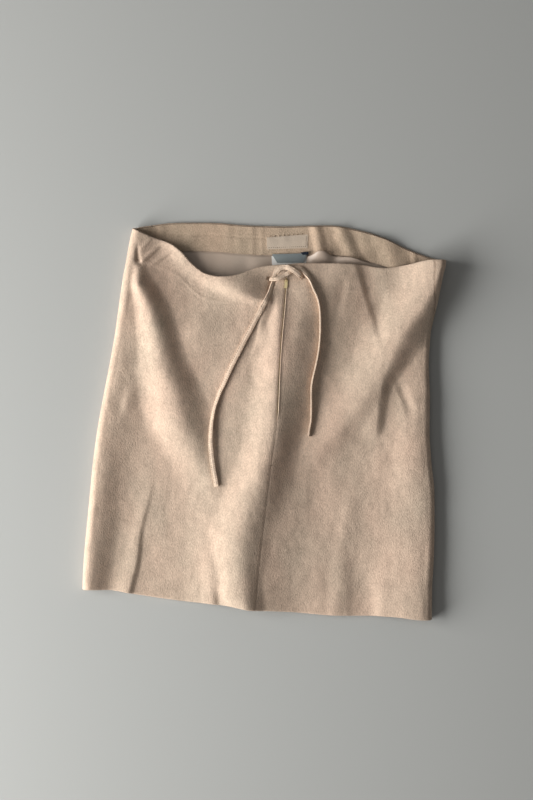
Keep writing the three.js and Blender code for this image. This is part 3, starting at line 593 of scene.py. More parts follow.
def mesh_object(name: str, points: Array, faces: list, shift: Vector, material: Material,
                sharp_degrees: float = 50.0) -> Piece:
    """Makes a smooth mesh object from points in millimetres.

    Args:
        name: the piece's name.
        points: its points, in millimetres.
        faces: its faces, as lists of point numbers.
        shift: the row frame's shift, in millimetres.
        material: its finish.
        sharp_degrees: edges that turn more than this stay sharp.

    Returns:
        The new object.
    """
    mesh = bpy.data.meshes.new(name)
    mesh.from_pydata(((np.asarray(points) + np.array(shift)) * MM).tolist(), [], faces)
    mesh.validate()
    mesh.shade_smooth()
    mesh.set_sharp_from_angle(angle=math.radians(sharp_degrees))
    mesh.materials.append(material)
    return linked(name, mesh)


def linked(name: str, data: bpy.types.ID) -> Piece:
    """Makes an object of a mesh, light or camera and puts it in the scene."""
    made = bpy.data.objects.new(name, data)
    bpy.context.scene.collection.objects.link(made)
    return made


# Shader groups and finishes


class Wiring:
    """Adds and joins nodes in one tree."""

    def __init__(self, tree: NodeTree) -> None:
        """Keeps the tree."""
        self.tree = tree

    def node(self, kind: str, **values: object) -> bpy.types.Node:
        """Adds a node and sets its properties.

        Args:
            kind: the node's type.
            values: its properties.

        Returns:
            The node.
        """
        made = self.tree.nodes.new(kind)
        for key, value in values.items():
            setattr(made, key, value)
        return made

    def join(self, source: Socket, target: Socket) -> None:
        """Joins two sockets."""
        self.tree.links.new(source, target)

    def math(self, operation: str, first: Socket | float, second: Socket | float) -> Socket:
        """A Math node on sockets or numbers.

        Args:
            operation: what it does.
            first: its first value.
            second: its second value.

        Returns:
            Its output.
        """
        made = self.node("ShaderNodeMath", operation=operation)
        for socket, value in zip(made.inputs, (first, second)):
            if isinstance(value, Socket):
                self.join(value, socket)
            else:
                socket.default_value = value
        return made.outputs[0]

    def linear(self, value: Socket, factor: float, offset: Socket | float) -> Socket:
        """A value times a factor, plus an offset."""
        return self.math("ADD", self.math("MULTIPLY", value, factor), offset)

    def mix(self, factor: Socket, start: Colour, end: Colour) -> Socket:
        """Mixes two colours by a factor held from 0 to 1.

        Args:
            factor: the share of the second colour.
            start: the first colour.
            end: the second colour.

        Returns:
            The mixed colour's socket.
        """
        node = self.node("ShaderNodeMix", data_type="RGBA", clamp_factor=True)
        self.join(factor, node.inputs[0])
        node.inputs[6].default_value = (*start, 1.0)
        node.inputs[7].default_value = (*end, 1.0)
        return node.outputs[2]

    def tones(self, mottle: NodeTree, grain_scale: float) -> bpy.types.Node:
        """Places the shared group of tone changes.

        Args:
            mottle: the group.
            grain_scale: the scale of its grain.

        Returns:
            The group's node.
        """
        made = self.node("ShaderNodeGroup", node_tree=mottle)
        made.inputs["Grain Scale"].default_value = grain_scale
        return made


# The shared group's masks, each with its usual scale and its detail
MOTTLE = {"Broad": (16.0, 3.0), "Middle": (110.0, 2.0), "Grain": (700.0, 3.0)}
NAP_STRETCH = (1.25, 0.7, 1.0)
MIDDLE_IN_HEIGHT = 0.4


def cloth_mottle_group() -> NodeTree:
    """Builds the group that gives broad, middle and fine tone changes of a natural hide or cloth.

    Returns:
        The group: Broad, Middle and Grain masks about 0, and a Height.
    """
    group = bpy.data.node_groups.new("cloth_mottle", "ShaderNodeTree")
    number = "NodeSocketFloat"
    for key, (scale, _) in MOTTLE.items():
        socket = group.interface.new_socket(name=key + " Scale", in_out="INPUT", socket_type=number)
        socket.default_value = scale
    for key in (*MOTTLE, "Height"):
        group.interface.new_socket(name=key, in_out="OUTPUT", socket_type=number)
    wire = Wiring(group)
    source, sink = wire.node("NodeGroupInput"), wire.node("NodeGroupOutput")
    nap = wire.node("ShaderNodeMapping")
    nap.inputs["Scale"].default_value = NAP_STRETCH
    wire.join(wire.node("ShaderNodeTexCoord").outputs["Object"], nap.inputs["Vector"])
    values = {}
    for key, (_, detail) in MOTTLE.items():
        noise = wire.node("ShaderNodeTexNoise")
        noise.inputs["Detail"].default_value = detail
        wire.join(nap.outputs["Vector"], noise.inputs["Vector"])
        wire.join(source.outputs[key + " Scale"], noise.inputs["Scale"])
        values[key] = wire.math("SUBTRACT", noise.outputs["Fac"], 0.5)
        wire.join(values[key], sink.inputs[key])
    wire.join(wire.linear(values["Middle"], MIDDLE_IN_HEIGHT, values["Grain"]), sink.inputs["Height"])
    return group


def principled(name: str, values: dict[str, object]) -> tuple[Material, Wiring, bpy.types.Node]:
    """Starts a material and sets its shader's plain values.

    Args:
        name: the material's name.
        values: the shader's inputs that don't vary.

    Returns:
        The material, its wiring and its shader.
    """
    made = bpy.data.materials.new(name)
    made.use_nodes = True
    shader = made.node_tree.nodes["Principled BSDF"]
    for key, value in values.items():
        shader.inputs[key].default_value = value
    return made, Wiring(made.node_tree), shader


@dataclass(frozen=True)
class ClothFinish:
    """A cloth's or hide's colours, tone changes and sheen."""

    name: str
    colour: Colour
    warm: Colour
    pale: Colour
    broad: float = 0.26
    middle: float = 0.42
    grain: float = 0.75
    grain_scale: float = 650.0
    roughness: float = 0.95
    sheen: float = 0.15
    sheen_roughness: float = 0.6
    bump: float = 0.7
    bump_distance: float = 0.0007
    specular: float = 0.2
    warmth: float = 2.2

    def material(self, mottle: NodeTree) -> Material:
        """Builds the material.

        Args:
            mottle: the shared group of tone changes.

        Returns:
            The material.
        """
        made, wire, shader = principled(self.name, {
            "Roughness": self.roughness, "Specular IOR Level": self.specular, "Sheen Weight": self.sheen,
            "Sheen Roughness": self.sheen_roughness, "Sheen Tint": (*self.pale, 1.0)})
        tones = wire.tones(mottle, self.grain_scale).outputs
        cool = tuple(2 * middle - warm for middle, warm in zip(self.colour, self.warm))
        shade = 1.0
        for mask, amount in (("Grain", self.grain), ("Broad", self.broad), ("Middle", self.middle)):
            shade = wire.linear(tones[mask], amount, shade)
        scaled = wire.node("ShaderNodeVectorMath", operation="SCALE")
        wire.join(wire.mix(wire.linear(tones["Broad"], self.warmth, 0.5), cool, self.warm), scaled.inputs[0])
        wire.join(shade, scaled.inputs["Scale"])
        wire.join(scaled.outputs["Vector"], shader.inputs["Base Color"])
        bump = wire.node("ShaderNodeBump")
        bump.inputs["Strength"].default_value = self.bump
        bump.inputs["Distance"].default_value = self.bump_distance
        wire.join(tones["Height"], bump.inputs["Height"])
        wire.join(bump.outputs["Normal"], shader.inputs["Normal"])
        return made


@dataclass(frozen=True)
class MetalFinish:
    """A metal's colour and wear."""

    name: str
    colour: Colour
    dull: Colour
    roughness: float = 0.42
    metallic: float = 0.6
    grain_scale: float = 900.0
    wear: tuple[float, float] = (1.6, 0.4)
    roughness_change: float = 0.3

    def material(self, mottle: NodeTree) -> Material:
        """Builds the material.

        Args:
            mottle: the shared group of tone changes.

        Returns:
            The material.
        """
        made, wire, shader = principled(self.name, {"Metallic": self.metallic})
        grain = wire.tones(mottle, self.grain_scale).outputs["Grain"]
        colour = wire.mix(wire.linear(grain, *self.wear), self.colour, self.dull)
        wire.join(colour, shader.inputs["Base Color"])
        wire.join(wire.linear(grain, self.roughness_change, self.roughness), shader.inputs["Roughness"])
        return made


@dataclass
class Wardrobe:
    """Every finish of the skirt, built once."""

    finishes: tuple = (
        ClothFinish("suede", (0.535, 0.425, 0.342), (0.545, 0.417, 0.335), (0.64, 0.53, 0.44)),
        ClothFinish("inner_suede", (0.49, 0.385, 0.295), (0.50, 0.38, 0.29), (0.62, 0.50, 0.40)),
        # A copy of the suede painted lighter for the tie: painted light on the raised strands, not a
        # different hide
        ClothFinish("suede_painted_lighter_for_tie", (0.60, 0.48, 0.385), (0.61, 0.475, 0.38), (0.68, 0.56, 0.46)),
        ClothFinish("lining", (0.46, 0.378, 0.316), (0.47, 0.375, 0.308), (0.72, 0.63, 0.54),
                    0.1, 0.06, 0.06, roughness=0.42, sheen=0.1, bump=0.08, specular=0.5),
        ClothFinish("label", (0.55, 0.465, 0.385), (0.56, 0.465, 0.38), (0.68, 0.62, 0.54),
                    0.1, 0.2, 0.15, grain_scale=1500.0, roughness=0.7, bump=0.3),
        ClothFinish("care_label", (0.70, 0.70, 0.69), (0.68, 0.67, 0.66), (0.75, 0.75, 0.74),
                    0.1, 0.1, 0.06, roughness=0.5, bump=0.15, specular=0.4),
        ClothFinish("grey_label", (0.24, 0.27, 0.28), (0.22, 0.25, 0.27), (0.34, 0.37, 0.38),
                    0.1, 0.1, 0.1, roughness=0.55, bump=0.15, specular=0.4),
        ClothFinish("navy_tab", (0.022, 0.030, 0.048), (0.02, 0.026, 0.04), (0.05, 0.06, 0.08),
                    0.1, 0.1, 0.2, roughness=0.7),
        ClothFinish("thread", (0.16, 0.115, 0.08), (0.14, 0.10, 0.07), (0.22, 0.16, 0.12),
                    grain=0.3, roughness=0.7),
        ClothFinish("pale_thread", (0.34, 0.26, 0.195), (0.35, 0.26, 0.19), (0.44, 0.35, 0.27),
                    grain=0.3, roughness=0.8),
        ClothFinish("zip_tape", (0.30, 0.23, 0.17), (0.28, 0.21, 0.15), (0.36, 0.28, 0.21),
                    grain=0.2, roughness=0.8),
        MetalFinish("brass", (0.92, 0.78, 0.47), (0.76, 0.63, 0.38)),
    )
    made: dict[str, Material] = field(default_factory=dict)

    def __post_init__(self) -> None:
        """Builds the materials on the shared group."""
        mottle = cloth_mottle_group()
        self.made.update({finish.name: finish.material(mottle) for finish in self.finishes})


# The skirt's pieces


@dataclass
class Piecework:
    """What each sub-assembly is built with: the tube, the finishes and the row frame's shift."""

    tube: Tube
    wardrobe: Wardrobe
    shift: Vector

    def add(self, name: str, points: Array, faces: list, finish: str, *nodes: str, slot: str = "",
            sharp: float = 50.0, turn_out: bool = False) -> Piece:
        """Adds a piece on the skirt's body, and hides the solids that it stands for.

        Args:
            name: the piece's name.
            points: its points, in millimetres.
            faces: its faces, as lists of point numbers.
            finish: its finish.
            nodes: the solids that it replaces.
            slot: not used.
            sharp: edges that turn more than this stay sharp, in degrees.
            turn_out: whether to turn its faces out if they point in.

        Returns:
            The piece.
        """
        piece = mesh_object(name, points, faces, self.shift, self.wardrobe.made[finish], sharp)
        if turn_out:
            flip_if_inward(piece.data)
        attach(piece, BODY)
        if nodes:
            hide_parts(*nodes)
        log.info("%s: %d faces", name, len(piece.data.polygons))
        return piece

    def lay(self, node: str, sheet: ClothSheet, finish: str, cut: Cut, *under: str) -> None:
        """Adds a cloth panel.

        Args:
            node: the solid that it replaces.
            sheet: its wall.
            finish: its finish.
            cut: not used.
            under: not used.
        """
        piece = self.add(node + "_cloth", *sheet.mesh, finish, node)


@dataclass
class Fronts(Piecework):
    """The two front panels and their facings."""

    level_count: int = 200
    waist_share: float = 0.2
    facing_levels: int = 14
    fold_columns: int = 40
    panel_columns: int = 165
    facing_short: int = 11
    hole_reach: tuple[float, float] = (3.6, 2.2)
    # Each step of the gap beside the centre front: how much wider, down to which ring, over how much
    gap_steps: tuple = ((0.06, ZIP_END, 0.015), (0.6, 0.45, 0.03))
    sewn_sink: float = 0.25
    sewn_from: tuple[float, float] = (0.42, 0.04)
    seam_sink: float = 0.45
    sink_reach: float = 1.3
    sheets: dict[str, ClothSheet] = field(default_factory=dict)

    def stations(self, side: Side, v: Array) -> Array:
        """Ring distances from the side seam to the centre front.

        Args:
            side: the side that the panel is on.
            v: the rings.

        Returns:
            The distances, with a row for each ring.
        """
        gap = SEAM_HALF + sum(more * smoothstep((end - v) / over) for more, end, over in self.gap_steps)
        end = self.tube.ring_distance(side, self.tube.centre_x(v) - side.inward * gap, v)
        seam = np.full_like(v, -LEFT_SEAM_UNDER)
        if side is Side.RIGHT:
            seam = RIGHT_SEAM.read(v, "e") + SEAM_HALF
        near = spread(seam, FOLD_ZONE, self.fold_columns)[:, :-1]
        return np.concatenate([near, spread(FOLD_ZONE, end, self.panel_columns)], 1)

    def panel(self, side: Side, zip_sink: float, hole: tuple[float, float], cut: Cut) -> None:
        """Builds one front panel, with turned edges at waist and hem and a hole for the tie.

        Args:
            side: the side that it is on.
            zip_sink: how far its edge turns in beside the zip.
            hole: the middle of the tie's hole.
            cut: its flat width, length and area, in metres.
        """
        t = np.linspace(0, 1, self.level_count)
        v = ((1 - self.waist_share) * t + self.waist_share * t ** 2)[:, None]
        e = self.stations(side, v)
        grid = self.tube.place(side, e, v)
        begin, over = self.sewn_from
        edge = zip_sink + (self.sewn_sink - zip_sink) * smoothstep((v - begin) / over)
        sink = edge * np.exp(-((e[:, -1:] - e) / self.sink_reach) ** 2)
        sink += self.seam_sink * np.exp(-((e - e[:, :1]) / self.sink_reach) ** 2)
        sign = -side.inward
        grid = turned_edges(grid - grid_normals(grid, sign) * sink[..., None], sign)
        middle = (grid[:-1, :-1] + grid[1:, 1:]) / 2
        inside = sum(((middle[..., k] - hole[k]) / self.hole_reach[k]) ** 2 for k in range(2))
        name = f"front_{side.value}"
        self.sheets[name] = ClothSheet(grid, -SUEDE / 2, SUEDE / 2, sign, inside > 1)
        self.lay(name, self.sheets[name], "suede", cut, "back")

    def facing(self, side: Side, cut: Cut) -> None:
        """Builds the strip inside one front's waist.

        Args:
            side: the side that it is on.
            cut: its flat width, length and area, in metres.
        """
        v = np.linspace(FACING_START, FACING_END, self.facing_levels)[:, None]
        grid = self.tube.place(side, self.stations(side, v)[:, :-self.facing_short], v)
        front = f"front_{side.value}"
        sheet = ClothSheet(grid, INNER_FACE - INNER, INNER_FACE, -side.inward)
        self.lay(front + "_facing", sheet, "inner_suede", cut, front)

    def build(self) -> None:
        """Builds both fronts and both facings."""
        self.panel(Side.LEFT, 0.6, (6.3, 163.0), (0.245, 0.418, 0.0955))
        self.facing(Side.LEFT, (0.222, 0.033, 0.222 * 0.031))
        self.panel(Side.RIGHT, -0.85, (43.9, 164.7), (0.213, 0.418, 0.0845))
        self.facing(Side.RIGHT, (0.165, 0.033, 0.165 * 0.031))


@dataclass
class Back(Piecework):
    """The back panel, its facing and its lining."""

    # Rows and columns of each piece's grid on the flat part, and columns round the right fold
    panel_steps: tuple[int, int] = (120, 110)
    facing_steps: tuple[int, int] = (24, 300)
    lining_steps: tuple[int, int] = (120, 180)
    arc_columns: int = 34
    facing_depth: float = 31.0
    facing_loose: float = 0.7
    facing_waves: Waves = Waves(0.3, 9, 8, 0.4)
    # The facing's sewn line: how deep, how far down, half its width, and where it ends across
    facing_seam: tuple = (0.55, 13.0, 1.5, 8.0, 12.0)
    lining_gap: float = 0.35
    lining_half: float = 0.25
    lining_loose: float = 0.7
    lining_waves: tuple[Waves, ...] = (Waves(0.5, 26, 11), Waves(0.2, 11, 12))
    lining_start: float = FACING_END + 0.0004
    lining_packing: float = 1.7
    swells_begin: float = 0.007

    def stations(self, v: Array, flat_count: int, arc_count: int) -> Array:
        """Ring distances from the right fold, from the left seam to the right seam.

        Args:
            v: the rings.
            flat_count: columns on the flat part.
            arc_count: columns round the right fold.

        Returns:
            The distances, with a row for each ring.
        """
        left, right = self.tube.edge_x(Side.LEFT, v), self.tube.edge_x(Side.RIGHT, v)
        start = left + Side.LEFT.radius + LEFT_SEAM_UNDER + 2 * SEAM_HALF - Side.LEFT.quarter
        end = right - Side.RIGHT.radius - (FOLD_ZONE - Side.RIGHT.quarter)
        flat = -(right - spread(start, end, flat_count) - Side.RIGHT.radius + Side.RIGHT.quarter)
        seam = RIGHT_SEAM.read(v, "e") - SEAM_HALF
        return np.concatenate([flat, spread(-FOLD_ZONE, seam, arc_count)[:, 1:]], 1)

    def panel(self) -> None:
        """Builds the back panel, with turned edges at waist and hem."""
        rows, columns = self.panel_steps
        v = np.linspace(0, 1, rows)[:, None]
        grid = self.tube.place(Side.RIGHT, self.stations(v, columns, self.arc_columns), v)
        grid = turned_edges(grid, 1)
        self.lay("back", ClothSheet(grid, -SUEDE / 2, SUEDE / 2, 1), "suede", (0.405, 0.445, 0.155))

    def puckers(self, grid: Array) -> Array:
        """How far the facing stands up from the back, on the flat part.

        Args:
            grid: the facing's points.

        Returns:
            The rise of each point.
        """
        x, y, z = (grid[..., k] for k in range(3))
        down = WAIST.read(x, "back") - y
        rise = self.facing_loose + self.facing_waves.at(x, y)
        for place, lean, height, half in PUCKERS.rows:
            rise += height * hump(x - place - lean * down / self.facing_depth, half)
        depth, line, half, end, over = self.facing_seam
        rise -= depth * hump(down - line, half) * smoothstep((end - x) / over)
        return np.maximum(rise, 0) * (z < SUEDE)

    def facing(self) -> None:
        """Builds the strip inside the back's waist."""
        rows, columns = self.facing_steps
        v = np.linspace(FACING_START, FACING_END, rows)[:, None]
        grid = self.tube.place(Side.RIGHT, self.stations(v, columns, self.arc_columns), v)
        high = INNER_FACE - self.puckers(grid)
        sheet = ClothSheet(grid, high - INNER, high, 1)
        self.lay("back_facing", sheet, "inner_suede", (0.39, 0.034, 0.39 * 0.032), "back")

    def lining(self) -> None:
        """Builds the satin over the inside of the back."""
        rows, columns = self.lining_steps
        t = np.linspace(0, 1, rows)[:, None] ** self.lining_packing
        v = self.lining_start + (LINING_END - self.lining_start) * t
        grid = self.tube.place(Side.RIGHT, self.stations(v, columns, 2)[:, 1:-2], v)
        x, y, z = (grid[..., k] for k in range(3))
        rise = self.lining_loose + sum(layer.at(x, y) for layer in self.lining_waves)
        over = np.zeros_like(x)
        for px, py, height, across, down, hang in LINING_SWELLS.rows:
            swell = hump(x - px, across) * hump(y - py, down)
            rise += height * swell
            over += hang * swell
        begun = smoothstep((v - FACING_END) / self.swells_begin)
        grid = np.stack([x, y + over * begun, z - INNER_FACE + self.lining_gap + rise * begun], -1)
        sheet = ClothSheet(grid, -self.lining_half, self.lining_half, 1)
        self.lay("back_lining", sheet, "lining", (0.365, 0.385, 0.132), "back")

    def build(self) -> None:
        """Builds the back's three pieces."""
        self.panel()
        self.facing()
        self.lining()


@dataclass(frozen=True)
class Ribbon:
    """A small label: names, finish, heights, and corners in plan, clockwise from the top left."""

    name: str
    node: str
    finish: str
    base: float
    thickness: float
    curl: float
    corners: tuple


@dataclass
class Labels(Piecework):
    """The bare labels inside the back of the waist."""

    steps: tuple[int, int] = (40, 16)
    waves: Waves = Waves(0.12, 6, 21)
    ribbons: tuple[Ribbon, ...] = (
        Ribbon("woven_label", "label", "label", 3.1, 0.6, 0.4,
               ((3.2, 210.8), (50.9, 214.4), (50.3, 198.6), (3.6, 197.2))),
        Ribbon("care_label_ribbon", "care_label", "care_label", 2.9, 0.4, 0.9,
               ((9.0, 189.6), (49.5, 190.6), (47.0, 160.0), (11.0, 160.0))),
        Ribbon("care_label_fold_ribbon", "care_label_fold", "grey_label", 4.1, 0.4, 0.6,
               ((9.5, 191.4), (49.8, 192.6), (45.4, 181.7), (15.5, 181.7))),
        Ribbon("size_tab_ribbon", "size_tab", "navy_tab", 5.0, 0.4, 0.2,
               ((42.3, 193.4), (51.6, 194.6), (51.3, 191.0), (44.7, 190.8))),
    )

    def build(self) -> None:
        """Builds the four labels."""
        s = np.linspace(0, 1, self.steps[0])[None, :, None]
        t = np.linspace(0, 1, self.steps[1])[:, None, None]
        for ribbon in self.ribbons:
            p = [np.array(corner, float) for corner in ribbon.corners]
            plan = (p[0] * (1 - s) + p[1] * s) * (1 - t) + (p[3] * (1 - s) + p[2] * s) * t
            rise = ribbon.curl * np.sin(math.pi * s[..., 0]) * np.sin(math.pi * t[..., 0])
            rise = rise + self.waves.at(plan[..., 0], plan[..., 1])
            half = ribbon.thickness / 2
            grid = np.concatenate([plan, (ribbon.base + half + rise)[..., None]], -1)
            sheet = ClothSheet(grid, -half, half, -1)
            self.add(ribbon.name, *sheet.mesh, ribbon.finish, ribbon.node)


@dataclass
class Zip(Piecework):
    """The closed zip under the centre front."""

    pitch: float = 2.2
    tape_half: float = 8.85
    tape_steps: tuple[int, int] = (130, 37)
    tape_ends: tuple[float, float] = (0.006, ZIP_END - 0.004)
    tape_sink: float = 0.4
    notch: float = 4.8
    tooth_ends: tuple[float, float] = (150.0, -46.0)
    tooth_half: tuple[float, float, float] = (1.1, 0.35, 0.3)
    tooth_lean: float = 0.55
    tooth_sink: float = 0.2

    def tape(self) -> None:
        """Builds the tape, parted at the top round the slider."""
        v = np.linspace(*self.tape_ends, self.tape_steps[0])[:, None]
        across = np.linspace(-self.tape_half, self.tape_half, self.tape_steps[1])[None, :]
        x = self.tube.centre_x(v) + across
        y = self.tube.row_y(x, v, "front")
        grid = np.stack([x, y, self.tube.front_height(x, y, v + 0 * x)], -1)
        cell = self.tape_half / (self.tape_steps[1] - 1)
        keep = (np.abs(across[:, :-1] + cell) >= self.notch) | (v[:-1] >= FACING_END)
        sheet = ClothSheet(grid, INNER_FACE - INNER, INNER_FACE - self.tape_sink, -1, keep)
        self.add("zip_tape_cloth", *sheet.mesh, "zip_tape", "zip_tape")

    def teeth(self) -> None:
        """Builds the row of small brass teeth on the tape."""
        points, faces = [], []
        wide, deep, high = self.tooth_half
        y = np.arange(*self.tooth_ends, -self.pitch)
        x = CENTRE.read(y, "x")
        z = self.tube.front_height(x, y, self.tube.level(x, y)) + INNER_FACE - self.tooth_sink
        for spot in np.stack([x, y, z], -1):
            for lean in (-self.tooth_lean, self.tooth_lean):
                faces += [[len(points) + k for k in face] for face in BOX_FACES]
                points += [spot + (dx + lean, dy + lean, dz) for dz in (-high, high)
                           for dx, dy in ((-wide, -deep), (wide, -deep), (wide, deep), (-wide, deep))]
        self.add("zip_teeth", np.array(points), faces, "brass", sharp=30.0)

    def build(self) -> None:
        """Builds the zip's pieces, and dresses the slider and the pull tab."""
        self.tape()
        self.teeth()
        for name in ("zip_slider", "zip_pull"):
            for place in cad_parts[name].material_slots:
                place.material = self.wardrobe.made["brass"]


@dataclass(frozen=True)
class Thread:
    """How a row is sewn: distance from stitch to stitch, a stitch's length and radius, finish and slot."""

    pitch: float
    length: float
    radius: float
    finish: str = "pale_thread"
    slot: str = "suede"


@dataclass
class Sewing(Piecework):
    """Rows of single stitches, each a small rounded grain of thread."""

    seam_thread: Thread = Thread(3.3, 2.4, 0.26)
    seam_ends: tuple[float, float, int] = (-53.0, -216.0, 240)
    seam_aside: float = 2.9
    tack_thread: Thread = Thread(0.8, 1.3, 0.36)
    tack_ends: tuple[float, float] = (5.2, 14.4)
    tack_y: float = -50.1
    tack_lean: float = 0.1
    tack_sink: float = 0.15
    label_thread: Thread = Thread(2.3, 1.5, 0.24, "thread", "label")
    label_lines: tuple = (((5.2, 199.0, 3.78), (48.9, 200.4, 3.78)),
                          ((48.4, 200.9, 3.78), (49.0, 212.4, 3.78)))
    tick_thread: Thread = Thread(2.2, 2.1, 0.22, "thread", "label")
    tick_places: tuple[float, float, float] = (8.0, 45.0, 5.2)
    tick_lean: float = 0.075
    tick_ends: tuple = ((0.0, 210.3, 3.76), (0.1, 212.5, 3.5))
    # A stitch's wide part reaches this share of its length each way, and its ends sink by this share
    wide_share: float = 0.3
    end_sink: float = 0.6
    look_ahead: float = 0.4
    slope_step: float = 0.5

    def grain(self, middle: Array, along: Array, up: Array, thread: Thread) -> tuple[list, list]:
        """One stitch's points and faces.

        Args:
            middle: its middle.
            along: its direction.
            up: the way out of the cloth.
            thread: the thread.

        Returns:
            Its points, and its faces as lists of point numbers.
        """
        across = np.cross(along, up)
        reach, sunk = along * thread.length, up * thread.radius * self.end_sink
        points = [middle - reach / 2 - sunk]
        for place in (-self.wide_share, self.wide_share):
            for a, b in ((1, 0), (0, 1), (-1, 0), (0, -1)):
                points.append(middle + reach * place + (across * a + up * b) * thread.radius)
        points.append(middle + reach / 2 - sunk)
        faces = []
        for k in range(4):
            m = (k + 1) % 4
            faces += [[0, 1 + m, 1 + k], [1 + k, 1 + m, 5 + m, 5 + k], [5 + k, 5 + m, 9]]
        return points, faces

    def row(self, name: str, lines: list, thread: Thread) -> Piece:
        """Sews one or more lines.

        Args:
            name: the piece's name.
            lines: for each line, its points on the cloth and the ways out of the cloth there.
            thread: the thread.

        Returns:
            The piece.
        """
        points, faces = [], []
        for line, ups in lines:
            run = run_along(line)
            for at in np.arange(thread.pitch / 2, run[-1], thread.pitch):
                spot, ahead, up = (np.array([np.interp(at + step, run, column[:, k]) for k in range(3)])
                                   for column, step in ((line, 0.0), (line, self.look_ahead), (ups, 0.0)))
                made, around = self.grain(spot, unit(ahead - spot), unit(up), thread)
                faces += [[len(points) + k for k in face] for face in around]
                points += made
        return self.add(name, np.array(points), faces, thread.finish, slot=thread.slot, sharp=60.0,
                        turn_out=True)

    def on_front(self, x: Array, y: Array, sink: float = 0.1) -> tuple[Array, Array]:
        """Points on the outer face of the fronts, and the ways out of it.

        Args:
            x: plan places across.
            y: plan places along.
            sink: how far the points lie in the cloth.

        Returns:
            The points and the ways out.
        """
        step, v = self.slope_step, self.tube.level(x, y)
        z, east, north = (self.tube.front_height(x + dx, y + dy, v)
                          for dx, dy in ((0, 0), (step, 0), (0, step)))
        up = unit(np.stack([(z - east) / step, (z - north) / step, np.ones_like(z)], -1))
        return np.stack([x, y, z], -1) + up * (SUEDE / 2 - sink), up

    def build(self) -> None:
        """Sews the centre front below the zip, its bar tack and the woven label."""
        y = np.linspace(*self.seam_ends)
        seam = self.on_front(CENTRE.read(y, "x") - self.seam_aside, y)
        self.row("centre_front_stitches", [seam], self.seam_thread)
        x = np.linspace(*self.tack_ends, 30)
        y = self.tack_y + self.tack_lean * (x - sum(self.tack_ends) / 2)
        self.row("bar_tack", [self.on_front(x, y, self.tack_sink)], self.tack_thread)
        out = np.array([[0.0, 0.0, 1.0]] * 2)
        self.row("label_stitches", [(np.array(line), out) for line in self.label_lines], self.label_thread)
        ticks = [(np.array(self.tick_ends) + (x, self.tick_lean * x, 0.0), out)
                 for x in np.arange(*self.tick_places)]
        self.row("label_ticks", ticks, self.tick_thread)


